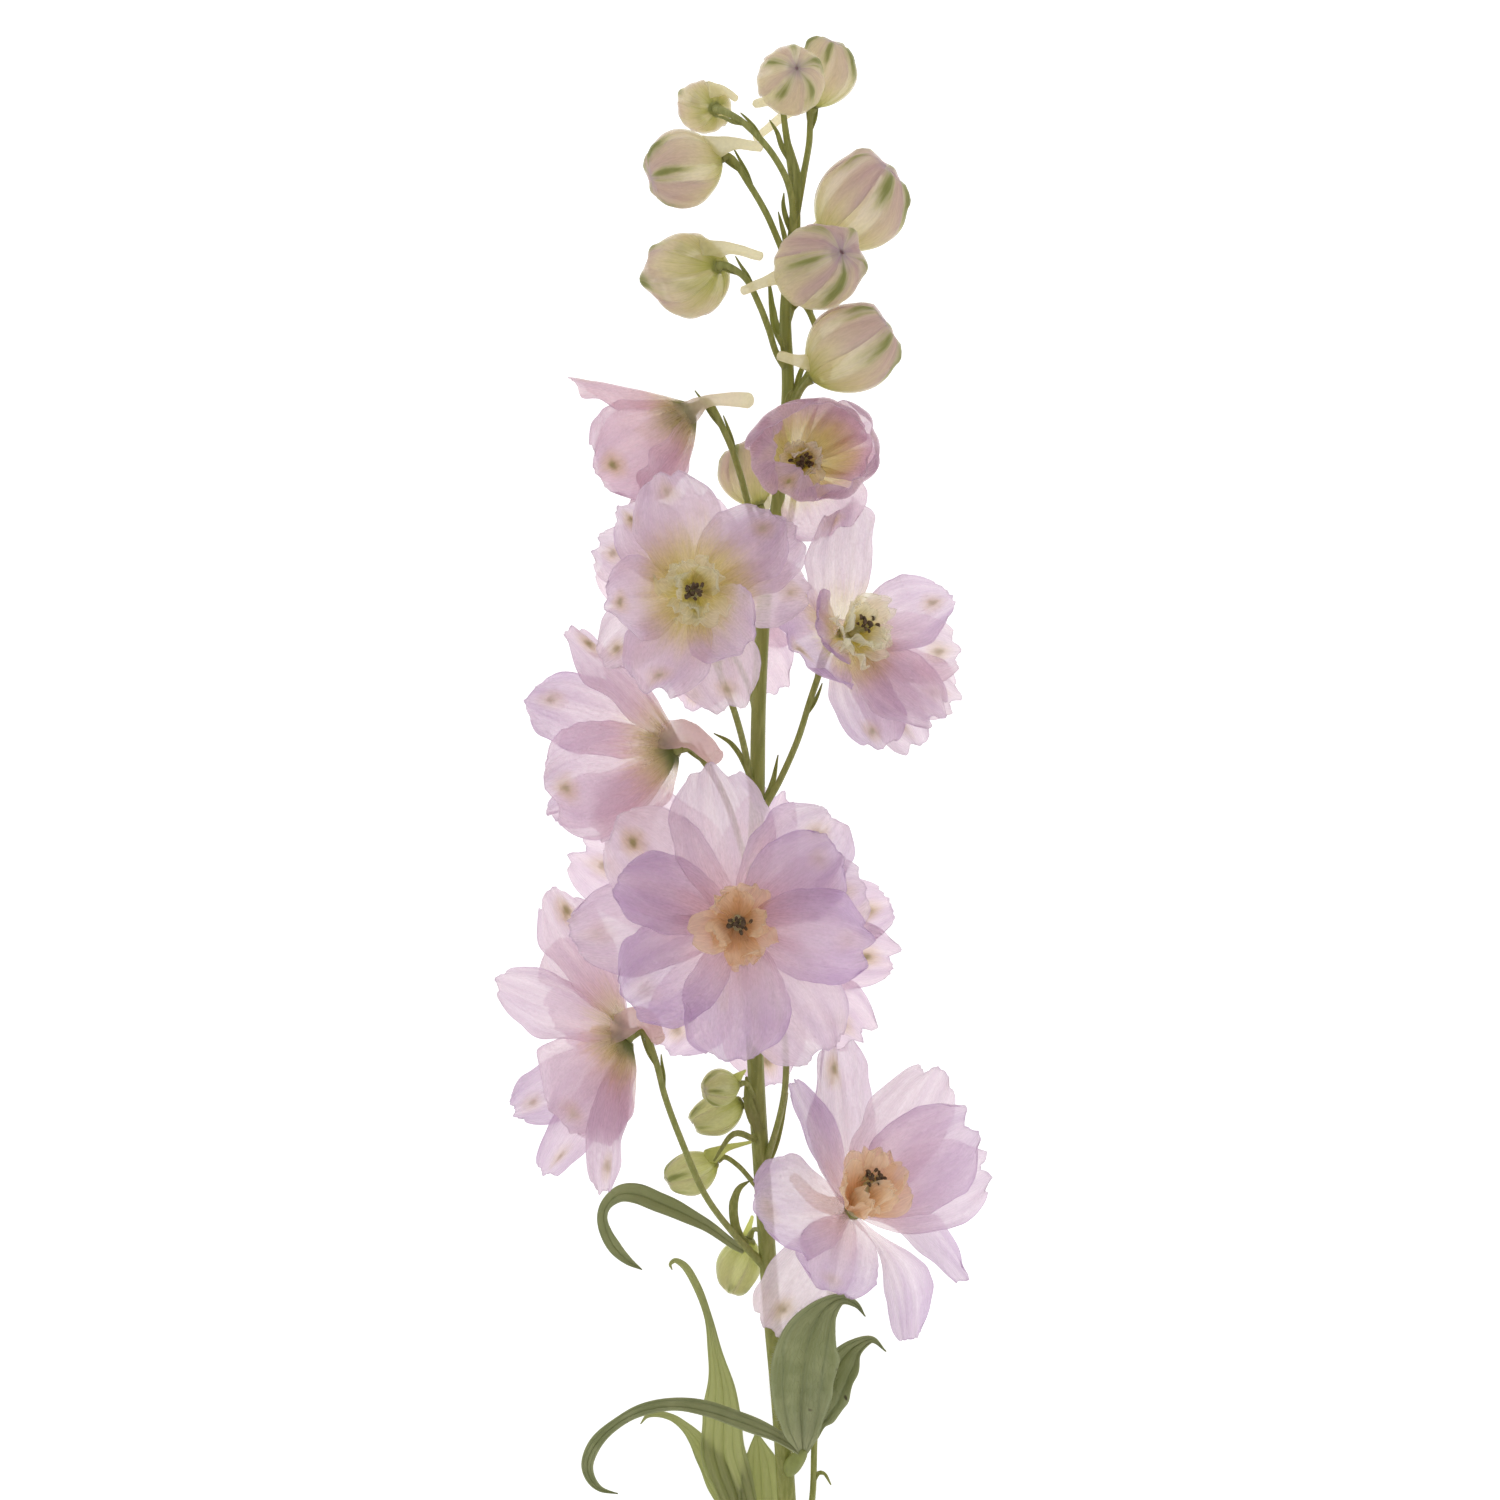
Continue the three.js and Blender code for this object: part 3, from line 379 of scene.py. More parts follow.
STALKS = {
    "lower_right": [
        (0.3, -3, 3.2), (3, 6.5, 5), (5, 16.5, 7), (5.5, 30.5, 10), (6.5, 45, 14), (8.5, 61, 21),
        (10, 73, 31),
    ],
    "lower_left": [
        (-5, 68, 24), (-12, 76, 31), (-18, 85, 41), (-22.5, 96, 49), (-26, 106, 56), (-28, 114, 60),
    ],
    "large_front": [(-5.8, 89, 29.5), (-3.5, 96, 34), (-1, 108, 44), (-1.5, 120, 52), (-5.5, 133, 60)],
    "large_back": [(-7, 109.5, 34.6), (-8, 118.5, 36), (-10, 127.5, 32)],
    "middle_left": [(-7.5, 150, 41.9), (-10, 157.5, 47), (-13, 167, 54), (-16.5, 174, 59.5)],
    "middle_right": [(-7, 163, 43.6), (-5, 167, 46), (-2.5, 171.5, 48), (1.5, 180.5, 51), (4.5, 190, 54)],
    "middle_front": [
        (-7, 166, 44), (-8.5, 173, 46.5), (-9.5, 178.5, 50), (-12, 187.5, 58), (-16.5, 199, 64),
    ],
    "middle_back": [(-6.6, 182, 46), (-8, 190, 41), (-12, 199, 32)],
    "upper_front": [(-5, 213, 48.9), (-3, 219, 52), (0, 227, 57)],
    "upper_left": [(-4.5, 217, 49.2), (-7, 224, 51), (-9, 230.5, 54), (-10.5, 236, 57), (-13, 243, 60)],
    "bud_1": [(1, 290, 54), (3, 300, 51), (4, 306, 47.5)],
    "bud_2": [(0.6, 298, 54), (-1, 308, 52)],
    "bud_3": [
        (0.2, 284, 53.8), (0.5, 291, 57), (-0.5, 296, 60), (-2.5, 300, 63), (-5.5, 304, 65),
        (-10, 308.5, 64),
    ],
    "bud_4": [(0, 279, 53.5), (-2.5, 284.5, 56), (-5, 290, 58), (-8.5, 296, 58)],
    "bud_5": [(-0.6, 258, 52.3), (-2.8, 261, 54), (-4.5, 266, 57), (-6.5, 271, 59.5), (-9.5, 276.5, 61)],
    "bud_6": [(-0.8, 268, 52.8), (1.5, 274.5, 50), (4, 280, 48.5)],
    "bud_7": [(-0.4, 251, 51.9), (4, 257.5, 52.5), (6, 263, 52.5), (4, 270, 52)],
    "bud_8": [(-0.8, 246.5, 51.6), (0.8, 250.5, 55.5)],
    "bud_9": [(-4, 218.5, 49.4), (-5.2, 222, 46.5), (-6, 226, 44.5)],
    "small_bud_1": [(-6.8, 101, 32.6), (-8, 106, 36)],
    "small_bud_2": [(-6.7, 101.5, 32.7)],
    "small_bud_3": [(-5.6, 84, 28.3), (-8, 87, 31), (-11, 90.5, 33.5)],
    "small_bud_4": [(-4.9, 74, 25.5), (-6.5, 76, 23)],
}

# Narrow leaves on the stem: x, y, z and width.
BRACTS = [
    [(-7, 168, 45.5, 1.4), (-9.5, 175.5, 48, 1.1), (-12.5, 180, 50, 0.9), (-16, 182, 50, 0.2)],
    [(-6.8, 165, 44.5, 1.5), (-4, 170.5, 44.5, 1.3), (-2.5, 177.5, 46.5, 0.2)],
    [(-6.5, 98, 33, 2.4), (-8.5, 103, 35.5, 2.2), (-9.2, 109.5, 37.2, 0.5)],
    [(-6, 88.5, 30, 2), (-3, 96, 31.5, 2), (-0.5, 106, 34, 0.5)],
    [
        (-9.2, 72.8, 27.5, 1.5), (-11.2, 76.5, 29, 1.8), (-11.9, 82, 32, 1.8), (-10.6, 85.8, 34, 1.2),
        (-8.6, 87.2, 34, 0.3),
    ],
    [(-6.5, 95.5, 32, 1.2), (-12, 97.5, 40, 1.2), (-16, 92, 42.5, 0.4)],
    [(-0.6, 262, 53.5, 1.8), (-3, 267, 51, 1.8), (-4.5, 277, 50, 0.4)],
    [(0.5, 288, 55, 1.8), (1.5, 297, 56.5, 1.6), (-0.5, 306, 58, 0.4)],
    [(5.2, 20.2, 7.6, 0.8), (6.4, 22.4, 8.2, 0.9), (7.6, 22.3, 8.3, 0.7), (9.1, 19.8, 8, 0.25)],
]

# Leaves: each lobe runs through x, y, z, width and the turn about its own midrib.
LEAVES = {
    "leaf_right": [
        [
            (3, 27.8, 16.8, 2, 0), (2.6, 34, 23, 7.5, 0), (2.5, 41, 30, 11.5, 0), (3.1, 48.5, 37, 13.6, 0),
            (4.6, 56, 43, 12.2, 0), (7.5, 61.6, 47, 6, 0.15), (10.8, 63.6, 48.3, 2.5, 0.3),
            (13.8, 62.4, 47.5, 1.4, 0.4), (15.8, 59.6, 46, 0.2, 0.4),
        ],
        [
            (3.2, 28, 16.4, 1.8, 0), (4.5, 35.2, 22.5, 6.5, 0.1), (7, 41.2, 28, 10, 0.1),
            (10.4, 48.3, 33, 8.6, 0.15), (13.6, 52.2, 35, 4.4, 0.3), (17.4, 53.9, 36, 1.6, 0.4),
            (20.4, 51.2, 35, 0.2, 0.4),
        ],
        [
            (2.6, 28, 16.6, 1.6, 0.2), (-2.8, 31.6, 20, 2.8, 0.4), (-10.1, 35, 25, 4, 0.6),
            (-17.4, 37.5, 27.3, 4.3, 0.8), (-24.8, 38.5, 26.5, 3.8, 0.9), (-32.1, 37, 24.3, 3.3, 0.8),
            (-38, 33.3, 20.5, 2.6, 0.5), (-41.9, 28.8, 16.5, 2.8, 0.2), (-43.4, 24.8, 13.5, 2.5, 0),
            (-42.7, 21.5, 11, 1.9, 0), (-40.6, 19.1, 9, 1.2, 0.2), (-36.9, 17.9, 8, 0.2, 0.3),
        ],
    ],
    "leaf_left": [
        [
            (-8, 5, 2.8, 2.5, 0), (-11, 16.5, 4.5, 8, 0), (-14, 26.5, 7, 9.4, 0), (-14, 35, 11, 8.6, -0.2),
            (-14.3, 42, 14.5, 6.2, -0.3), (-15.7, 49.5, 18, 3.2, -0.3), (-17.2, 57.2, 21.5, 1.7, -0.3),
            (-20, 64.9, 25, 1.7, -0.3), (-22.4, 68.8, 26, 1.6, -0.3), (-24.4, 69.8, 26, 1.1, -0.3),
            (-25.4, 68.9, 25.6, 0.7, -0.3), (-25, 67.7, 25, 0.2, -0.3),
        ],
        [
            (-8, 5.5, 2.6, 2.5, 0), (-13, 16.5, 3.2, 6, 0), (-17.3, 25.5, 5.5, 5.4, 0),
            (-20.5, 30.4, 8.5, 3.2, 0),
            (-22.6, 32.8, 10, 2, 0), (-25, 34.6, 10.8, 1.5, 0), (-27.9, 35.4, 11, 1.2, 0),
            (-30.5, 35, 10.8, 0.8, 0), (-32, 33.2, 10.2, 0.2, 0),
        ],
        [
            (-7.5, 5, 2.4, 2.5, 0), (-6, 13, 2.6, 8.5, 0), (-6, 21, 4.2, 9, 0), (-6.5, 27.5, 6.5, 5, 0),
            (-7, 31, 9, 0.8, 0),
        ],
    ],
    "leaf_strap": [
        [
            (-9.6, 71.8, 26, 1.3, 0), (-11.6, 73, 26.4, 1.7, 0), (-17.4, 77.2, 28, 2.5, 0.1),
            (-22.6, 80, 29.3, 3.6, 0.2), (-27.7, 82.3, 30, 4.1, 0.2), (-32.1, 84, 30, 4.3, 0.3),
            (-35.7, 84, 29.3, 3.9, 0.5), (-38.3, 82.1, 28.2, 3.2, 0.7), (-39.4, 79.4, 27, 2.7, 0.6),
            (-38.9, 75.9, 26, 2.7, 0.3), (-37.1, 72.3, 25, 2.7, 0), (-34.3, 69.5, 24.6, 1.7, 0),
            (-31.4, 67.7, 25, 0.2, 0),
        ],
    ],
}
# How pale each leaf is, and how many veins lie to each side of its midrib.
LEAF_LOOKS = {"leaf_left": (1.0, 2.3), "leaf_right": (0.0, 1.45), "leaf_strap": (0.15, 0.95)}
LEAF_STALKS = {
    "leaf_right": [
        (0, 22.8, 12, 1.1), (0.5, 24.2, 13.4, 1.75), (1.5, 25.9, 15, 1.75), (2.5, 27.3, 16.3, 1.35),
        (3.1, 28.8, 17.4, 0.9),
    ],
    "leaf_left": [(-7.5, 4.5, 2.6, 1.2), (-5.5, 0.5, 1.8, 1.1), (-2.4, -2.8, 1.7, 1)],
}


def metres(points):
    return (np.asarray(points, float) + FOOT) / 1000


def unit(v):
    v = np.asarray(v, float)
    return v / np.linalg.norm(v, axis=-1, keepdims=True)


def turned(v, axis, angle):
    """v turned about axis, each an array of rows."""
    angle = np.asarray(angle, float)[..., None]
    along = np.sum(axis * v, -1, keepdims=True)
    return v * np.cos(angle) + np.cross(axis, v) * np.sin(angle) + axis * along * (1 - np.cos(angle))


def heart_of(flower):
    """A flower's heart and the way it faces."""
    return np.array(flower["heart"], float), unit(flower["facing"])


def rod(at, way, stations):
    """A straight run of x, y, z and radius, from how far along way from at each radius lies."""
    return [(*(at + way * far), radius) for far, radius in stations]


def smooth(x, low, high):
    t = np.clip((x - low) / (high - low), 0, 1)
    return t * t * (3 - 2 * t)


def waves(rng, slow, fast, count=5):
    """A smooth random wave between about -1 and 1, with its turns a unit between slow and fast."""
    turns = rng.uniform(slow, fast, count)
    shifts = rng.uniform(0, TAU, count)
    return lambda x: sum(np.sin(TAU * f * x + s) for f, s in zip(turns, shifts)) / math.sqrt(count)


def spline(places, steps):
    """Rows along a smooth curve through places, with steps from each place to the next. The first
    three columns are the place, and what follows them, such as a width, is carried along."""
    p = np.asarray(places, float)
    p = np.vstack([2 * p[0] - p[1], p, 2 * p[-1] - p[-2]])
    knots = np.sqrt(np.linalg.norm(np.diff(p[:, :3], axis=0), axis=1))
    rows = []
    for k in range(len(p) - 3):
        p0, p1, p2, p3 = p[k : k + 4]
        d0, d1, d2 = knots[k : k + 3]
        m1 = ((p1 - p0) / d0 - (p2 - p0) / (d0 + d1) + (p2 - p1) / d1) * d1
        m2 = ((p2 - p1) / d1 - (p3 - p1) / (d1 + d2) + (p3 - p2) / d2) * d1
        t = np.arange(steps)[:, None] / steps
        rows.append(
            (2 * t**3 - 3 * t**2 + 1) * p1
            + (t**3 - 2 * t**2 + t) * m1
            + (3 * t**2 - 2 * t**3) * p2
            + (t**3 - t**2) * m2
        )
    rows.append(p[-2:-1])
    return np.vstack(rows)


# ---- Node trees


class Value:
    """A node's output that Python expressions can use: an expression adds its Math nodes."""

    def __init__(self, nodes, socket):
        self.nodes = nodes
        self.socket = socket

    def math(self, operation, *others, clamp=False):
        settings = {"operation": operation, "use_clamp": clamp}
        return self.nodes.add("ShaderNodeMath", settings, dict(enumerate((self, *others))))

    def __add__(self, other):
        return self.math("ADD", other)

    def __radd__(self, other):
        return self.math("ADD", other)

    def __sub__(self, other):
        return self.math("SUBTRACT", other)

    def __rsub__(self, other):
        return self.math("MULTIPLY", -1.0).math("ADD", other)

    def __mul__(self, other):
        return self.math("MULTIPLY", other)

    def __rmul__(self, other):
        return self.math("MULTIPLY", other)

    def __pow__(self, other):
        return self.math("POWER", other)

    def __abs__(self):
        return self.math("ABSOLUTE")

    def held(self):
        return self.math("ADD", 0.0, clamp=True)

    def ramp(self, low, high, first=0.0, last=1.0):
        """first below low and last above high, and a smooth step between them."""
        settings = {"interpolation_type": "SMOOTHSTEP"}
        sockets = {"Value": self, "From Min": low, "From Max": high, "To Min": first, "To Max": last}
        return self.nodes.add("ShaderNodeMapRange", settings, sockets)


class Nodes:
    """A node tree, with one way to add any node: its type, its settings and what its sockets take."""

    def __init__(self, tree):
        self.tree = tree

    def add(self, kind, settings=None, sockets=None, output=0):
        node = self.tree.nodes.new(kind)
        for name, value in (settings or {}).items():
            setattr(node, name, value)
        for name, value in (sockets or {}).items():
            if isinstance(value, Value):
                self.tree.links.new(value.socket, node.inputs[name])
            else:
                node.inputs[name].default_value = value
        return Value(self, node.outputs[output]) if node.outputs else None

    def marks(self, *names):
        """The numbers that a piece's points hold, by their names in MARKS."""
        kind = "ShaderNodeAttribute"
        return [self.add(kind, {"attribute_name": name}, output="Fac") for name in names]

    def vector(self, x, y, z):
        return self.add("ShaderNodeCombineXYZ", None, {"X": x, "Y": y, "Z": z})

    def noise(self, where, scale=1.0, detail=2.0, rough=0.5):
        sockets = {"Vector": where, "Scale": scale, "Detail": detail, "Roughness": rough}
        return self.add("ShaderNodeTexNoise", None, sockets, output="Fac")

    def object_place(self):
        return self.add("ShaderNodeTexCoord", output="Object")

    def tint(self, share, first, second):
        settings = {"data_type": "RGBA"}
        return self.add("ShaderNodeMix", settings, {0: share, 6: first, 7: second}, output=2)

    def blend(self, share, first, second):
        return self.add("ShaderNodeMixShader", None, {0: share, 1: first, 2: second})

    def through(self, colour):
        return self.add("ShaderNodeBsdfTranslucent", None, {"Color": colour})

    def clear(self, colour):
        return self.add("ShaderNodeBsdfTransparent", None, {"Color": colour})

    def skin(self, colour, rough, normal, shine=0.5):
        sockets = {
            "Base Color": colour,
            "Roughness": rough,
            "Specular IOR Level": shine,
            "Normal": normal,
        }
        return self.add("ShaderNodeBsdfPrincipled", None, sockets)

    def bump(self, height, depth, strength=1.0):
        sockets = {"Height": height, "Distance": depth, "Strength": strength}
        return self.add("ShaderNodeBump", None, sockets)


def tone(red, green, blue):
    """A colour from its 0 to 255 screen values."""
    def linear(c):
        c = c / 255
        return c / 12.92 if c <= 0.04045 else ((c + 0.055) / 1.055) ** 2.4

    return (linear(red), linear(green), linear(blue), 1.0)


def finish(name, surface):
    """A material whose surface is what surface(nodes) returns."""
    material = bpy.data.materials.new(name)
    material.use_nodes = True
    material.node_tree.nodes.clear()
    nodes = Nodes(material.node_tree)
    nodes.add("ShaderNodeOutputMaterial", None, {"Surface": surface(nodes)})
    return material


# ---- Finishes

# What each point of a piece holds: how far along and across its petal or leaf it is, a number that
# sets its pattern apart, how strong its spot is, how strong the green at its foot is, how violet it
# is and how rosy it is. On a bud "spot" is how ripe it is. On a leaf "spot" is how pale it is, and
# "tint" is how many veins lie to each side of its midrib.
MARKS = ("along", "across", "seed", "spot", "glow", "tint", "rose")

LILAC = tone(241, 230, 236)
VIOLET = tone(215, 193, 220)
ROSE = tone(241, 218, 223)
GREEN_GLOW = tone(235, 229, 172)
DEEP_GREEN = tone(112, 124, 56)
OLIVE = tone(146, 140, 62)
HALO = tone(218, 196, 146)
PETAL_VEIN = tone(196, 164, 186)
CLEAR_PETAL = (0.977, 0.949, 0.963, 1.0)

SPUR_ROSE = tone(232, 200, 198)
SPUR_CREAM = tone(246, 240, 210)
SPUR_ROSE_LIGHT = tone(234, 204, 204)
SPUR_CREAM_LIGHT = tone(248, 242, 206)

BEE_VEIN = tone(232, 204, 166)
CLEAR_BEE = (0.985, 0.972, 0.945, 1)

# mauve vein threads, darkened further as painted shade of the folds
BUD_THREAD_FOLD_SHADE = tone(208, 178, 190)
# painted shade: the darker mauve where the sepals' margins lie over one another
BUD_MARGIN_SHADE = tone(190, 146, 172)
BUD_GREEN = tone(200, 206, 128)
BUD_SMUDGE = tone(114, 120, 46)
BUD_TIP = tone(176, 148, 172)
BUD_GREEN_LIGHT = tone(228, 232, 160)
CLEAR_BUD = (0.99, 0.98, 0.965, 1)

STEM_DARK = tone(142, 144, 76)
STEM_PALE = tone(170, 170, 102)
STEM_BROWN = tone(150, 140, 96)
STEM_LIGHT = tone(206, 212, 120)

LEAF_DARK = tone(146, 152, 106)
LEAF_PALE = tone(168, 172, 126)
LEAF_SHEATH = tone(204, 203, 158)
LEAF_FIBRE = tone(166, 174, 138)
LEAF_LIP = tone(176, 182, 138)
# painted shade for the furrows of the sunk veins and their net
LEAF_VEIN_SHADE = tone(96, 108, 64)
LEAF_SPECK = tone(74, 60, 40)
LEAF_LIGHT = tone(214, 217, 170)


def petal_veins(nodes, across, along, seed, count):
    """Fine lines that run up a petal and spread with it: 1 on a vein and 0 between veins."""
    wander = nodes.noise(nodes.vector(across * 2.5, along * 3, seed * 40))
    place = across * (count / 2) + wander * 1.1 + along * 0.3
    main = abs((place * math.pi).math("SINE")).ramp(0.0, 0.3, 1.0, 0.0)
    side = nodes.noise(nodes.vector(across * count * 1.6, along * 4.5, seed * 60), 1.0, 3.0)
    return main, side


def sepal_surface(nodes):
    """A thin petal: lilac, violet at its rim, rosy or green at its foot, and veined. Its spot is an
    olive core in a tan halo near the tip."""
    along, across, seed, spot, glow, tint, rose = nodes.marks(*MARKS)
    veins, streaks = petal_veins(nodes, across, along, seed, 15)
    place = nodes.object_place()
    cloud = nodes.noise(place, 120.0, 2.0)
    crinkle = nodes.noise(nodes.vector(across * 20, along * 22, seed * 90), 1.0, 3.0, 0.65)
    rim = (abs(across) ** 8.0).math("MAXIMUM", along.ramp(0.96, 1.0)).ramp(0.8, 1.0)
    ragged = nodes.noise(nodes.vector(across * 9, along * 14, seed * 80), 1.0, 3.0)
    away = (abs(across * 2.1) ** 2.0 + abs((along - 0.83) * 6.2) ** 2.0) ** 0.5
    away = away + (ragged - 0.5) * 0.35 + (streaks - 0.5) * 0.25
    halo = away.ramp(0.1, 0.95, 1.0, 0.0) * spot
    core = away.ramp(0.0, 0.4, 1.0, 0.0) * spot
    foot = along + (streaks - 0.5) * 0.35 + abs(across) * 0.1
    blush = (foot.ramp(0.1, 0.55, 1.0, 0.0) * 0.8 + cloud.ramp(0.5, 0.8) * 0.35 + rose * 0.6).held()
    green = (foot.ramp(0.05, (glow - 1.0).held() * 0.9 + 0.42, 1.0, 0.0) * glow).held()
    deep = along.ramp(0.02, 0.13, 1.0, 0.0) * glow.ramp(0.8, 1.0) * glow.ramp(1.02, 1.08, 1.0, 0.0)
    folds = nodes.noise(nodes.vector(across * 3.2, along * 1.4, seed * 70), 1.0, 1.0)
    outer = along.ramp(0.25, 0.9) * (0.55 + 0.45 * abs(across))
    violet = (rim * 0.3 + tint * outer + tint * 0.25 + (folds - 0.5) * 0.8).held()
    colour = nodes.tint(violet, LILAC, VIOLET)
    colour = nodes.tint(blush, colour, ROSE)
    colour = nodes.tint(green * 0.8, colour, GREEN_GLOW)
    colour = nodes.tint(deep, colour, DEEP_GREEN)
    colour = nodes.tint(veins * 0.14, colour, PETAL_VEIN)
    colour = nodes.tint(halo * 0.6, colour, HALO)
    colour = nodes.tint(core * 0.95, colour, OLIVE)
    relief = veins * 0.3 + streaks * 0.5 + crinkle * 0.8
    skin = nodes.skin(colour, 0.5, nodes.bump(relief, 0.00025, 0.6), 0.35)
    light = nodes.blend(blush, nodes.through(LILAC), nodes.through(ROSE))
    light = nodes.blend(violet, light, nodes.through(VIOLET))
    light = nodes.blend(green, light, nodes.through(GREEN_GLOW))
    light = nodes.blend(halo * 0.8, light, nodes.through(HALO))
    lit = 0.82 - veins * 0.06 - (streaks - 0.5) * 0.2 - (folds - 0.5) * 0.2
    lit = (lit - core * 0.55 - deep * 0.5).held()
    body = nodes.blend(lit, skin, light)
    fine = veins * 0.05 + (streaks - 0.5) * 0.25 + (crinkle - 0.5) * 0.45
    bare = along.ramp(0.05, 0.4, 1.0, 0.0) * (1.0 - deep) * 0.22
    share = 0.455 + bare - fine - (folds - 0.5) * 0.3 - rim * 0.1
    share = (share - halo * 0.12 - core * 0.3 - deep * 0.3).held()
    return nodes.blend(share, body, nodes.clear(CLEAR_PETAL))


def spur_surface(nodes):
    """The spur's thin wrinkled wall: rosy on the rosy flowers, and creamier towards its end."""
    rose, along = nodes.marks("rose", "along")
    place = nodes.object_place()
    cloud = nodes.noise(place, 260.0, 3.0)
    wrinkle = nodes.noise(place, 1100.0, 3.0, 0.6)
    cream = ((along.ramp(0.2, 0.9) + 0.5) * (1.0 - rose * 0.95) + cloud.ramp(0.4, 0.7) * 0.2).held()
    colour = nodes.tint(cream, SPUR_ROSE, SPUR_CREAM)
    skin = nodes.skin(colour, 0.5, nodes.bump(wrinkle, 0.0004, 0.7))
    light = nodes.blend(cream, nodes.through(SPUR_ROSE_LIGHT), nodes.through(SPUR_CREAM_LIGHT))
    body = nodes.blend((0.68 - (wrinkle - 0.5) * 0.25).held(), skin, light)
    mouth = along.ramp(0.0, 0.3, 1.0, 0.0)
    share = (0.3 - (wrinkle - 0.5) * 0.2 + mouth * 0.7).held()
    return nodes.blend(share, body, nodes.clear(CLEAR_PETAL))


def bee_surface(colour, base_colour, lit):
    """A ragged inner petal: its own colour, base_colour towards its foot, and a lit share that lets
    the light through."""
    def surface(nodes):
        along, across, seed = nodes.marks("along", "across", "seed")
        veins, streaks = petal_veins(nodes, across, along, seed, 7)
        base = (along + (streaks - 0.5) * 0.3).ramp(0.2, 0.7, 1.0, 0.0)
        crinkle = nodes.noise(nodes.object_place(), 1600.0, 3.0, 0.6)
        shade = nodes.tint(base * 0.9, colour, base_colour)
        shade = nodes.tint((veins * 0.15 + (streaks - 0.5) * 0.35).held(), shade, BEE_VEIN)
        skin = nodes.skin(shade, 0.55, nodes.bump(streaks + crinkle, 0.00025, 0.6))
        light = nodes.blend(base, nodes.through(colour), nodes.through(base_colour))
        body = nodes.blend((lit - veins * 0.15).held(), skin, light)
        share = (lit * 0.8 - 0.1 - veins * 0.08 - (streaks - 0.5) * 0.3).held()
        return nodes.blend(share, body, nodes.clear(CLEAR_BEE))

    return surface


def bud_surface(colour, blush, greenness):
    """A bud's sepal: pale, with mauve threads and margins, a green foot, and an olive smudge at the
    knob of its tip. The threads and margins are darkened with painted shade: the threads for the folds
    and the margins for where the sepals overlap. greenness is 1 on a wholly green bud."""
    def surface(nodes):
        along, across, seed, ripe = nodes.marks("along", "across", "seed", "spot")
        veins, streaks = petal_veins(nodes, across, along, seed, 7)
        folds = nodes.noise(nodes.vector(across * 3.0, along * 1.2, seed * 70), 1.0, 1.0)
        crinkle = nodes.noise(nodes.vector(across * 20, along * 12, seed * 90), 1.0, 3.0, 0.6)
        reach = along - 0.885
        away = (abs(across * 2.8) ** 2.0 + (abs(reach) * 5.0 + reach * 2.5) ** 2.0) ** 0.5
        away = away + (streaks - 0.5) * 0.9 + (seed - 0.5) * 0.5 + (folds - 0.5) * 1.2
        smudge = away.ramp(0.0, 1.15, 1.0, 0.0) ** 1.3
        foot = (along + (folds - 0.5) * 0.4 - veins * 0.08).ramp(0.0, 0.45, 1.0, 0.0)
        line = veins * along.ramp(0.9, 0.3) * (0.12 + 0.15 * greenness)
        green = foot * (0.4 + 0.4 * greenness) + along.ramp(0.0, 0.2, 0.4, 0.0)
        green = (green + smudge * 0.8 + line).held()
        side = abs(across + (seed - 0.5) * 0.6).ramp(0.25, 0.8) * along.ramp(0.3, 0.8)
        rosy = along.ramp(0.3, 0.95) * (0.35 + seed * 0.5) * (1 - greenness) * ripe
        pink = (side * 0.08 + rosy + (folds - 0.47) * 1.2 * along.ramp(0.1, 0.5)).held()
        point = along.ramp(0.92, 0.98)
        # vein threads: partly real veining, partly painted shade along the folds
        thread = (veins * 0.3 + (streaks - 0.5).held() * 0.9).held() * along.ramp(0.2, 0.6)
        # painted shade along each sepal's margins, where the sepals overlap
        margin_shade = abs(across + (folds - 0.5) * 0.3).ramp(0.5, 1.0) * along.ramp(0.15, 0.6) * ripe
        shade = nodes.tint(pink, colour, blush)
        shade = nodes.tint(thread, shade, BUD_THREAD_FOLD_SHADE)
        shade = nodes.tint(margin_shade * (0.7 - 0.5 * greenness), shade, BUD_MARGIN_SHADE)
        shade = nodes.tint(green, shade, BUD_GREEN)
        shade = nodes.tint(smudge * 0.9, shade, BUD_SMUDGE)
        shade = nodes.tint(point * (0.5 - 0.3 * greenness), shade, BUD_TIP)
        relief = veins * 0.3 + streaks * 0.5 + crinkle * 0.5
        skin = nodes.skin(shade, 0.5, nodes.bump(relief, 0.00025, 0.5), 0.4)
        light = nodes.blend(pink, nodes.through(colour), nodes.through(blush))
        light = nodes.blend(green, light, nodes.through(BUD_GREEN_LIGHT))
        # painted shade: margins and threads let less light through, so they read darker
        painted_line_shade = (margin_shade * (0.35 - 0.3 * greenness) + thread * 0.25).held()
        body = nodes.blend((0.76 - smudge * 0.5 - point * 0.3 - painted_line_shade).held(), skin, light)
        share = (0.48 - smudge * 0.35 - painted_line_shade * 0.4 - (crinkle - 0.5) * 0.25).held()
        return nodes.blend(share, body, nodes.clear(CLEAR_BUD))

    return surface


def stem_surface(nodes):
    """A green stem with pale stripes along it and a few brown clouds."""
    place = nodes.object_place()
    sockets = {"Vector": place, "Scale": (1500.0, 90.0, 1500.0)}
    stretched = nodes.add("ShaderNodeMapping", None, sockets)
    stripes = nodes.noise(stretched, 1.0, 3.0)
    cloud = nodes.noise(place, 90.0, 3.0)
    grain = nodes.noise(place, 4000.0, 2.0)
    shade = nodes.tint(stripes.ramp(0.35, 0.7), STEM_DARK, STEM_PALE)
    shade = nodes.tint(cloud.ramp(0.5, 0.8) * 0.5, shade, STEM_BROWN)
    skin = nodes.skin(shade, 0.5, nodes.bump(stripes + grain * 0.3, 0.0002, 0.6), 0.4)
    return nodes.blend(0.25, skin, nodes.through(STEM_LIGHT))


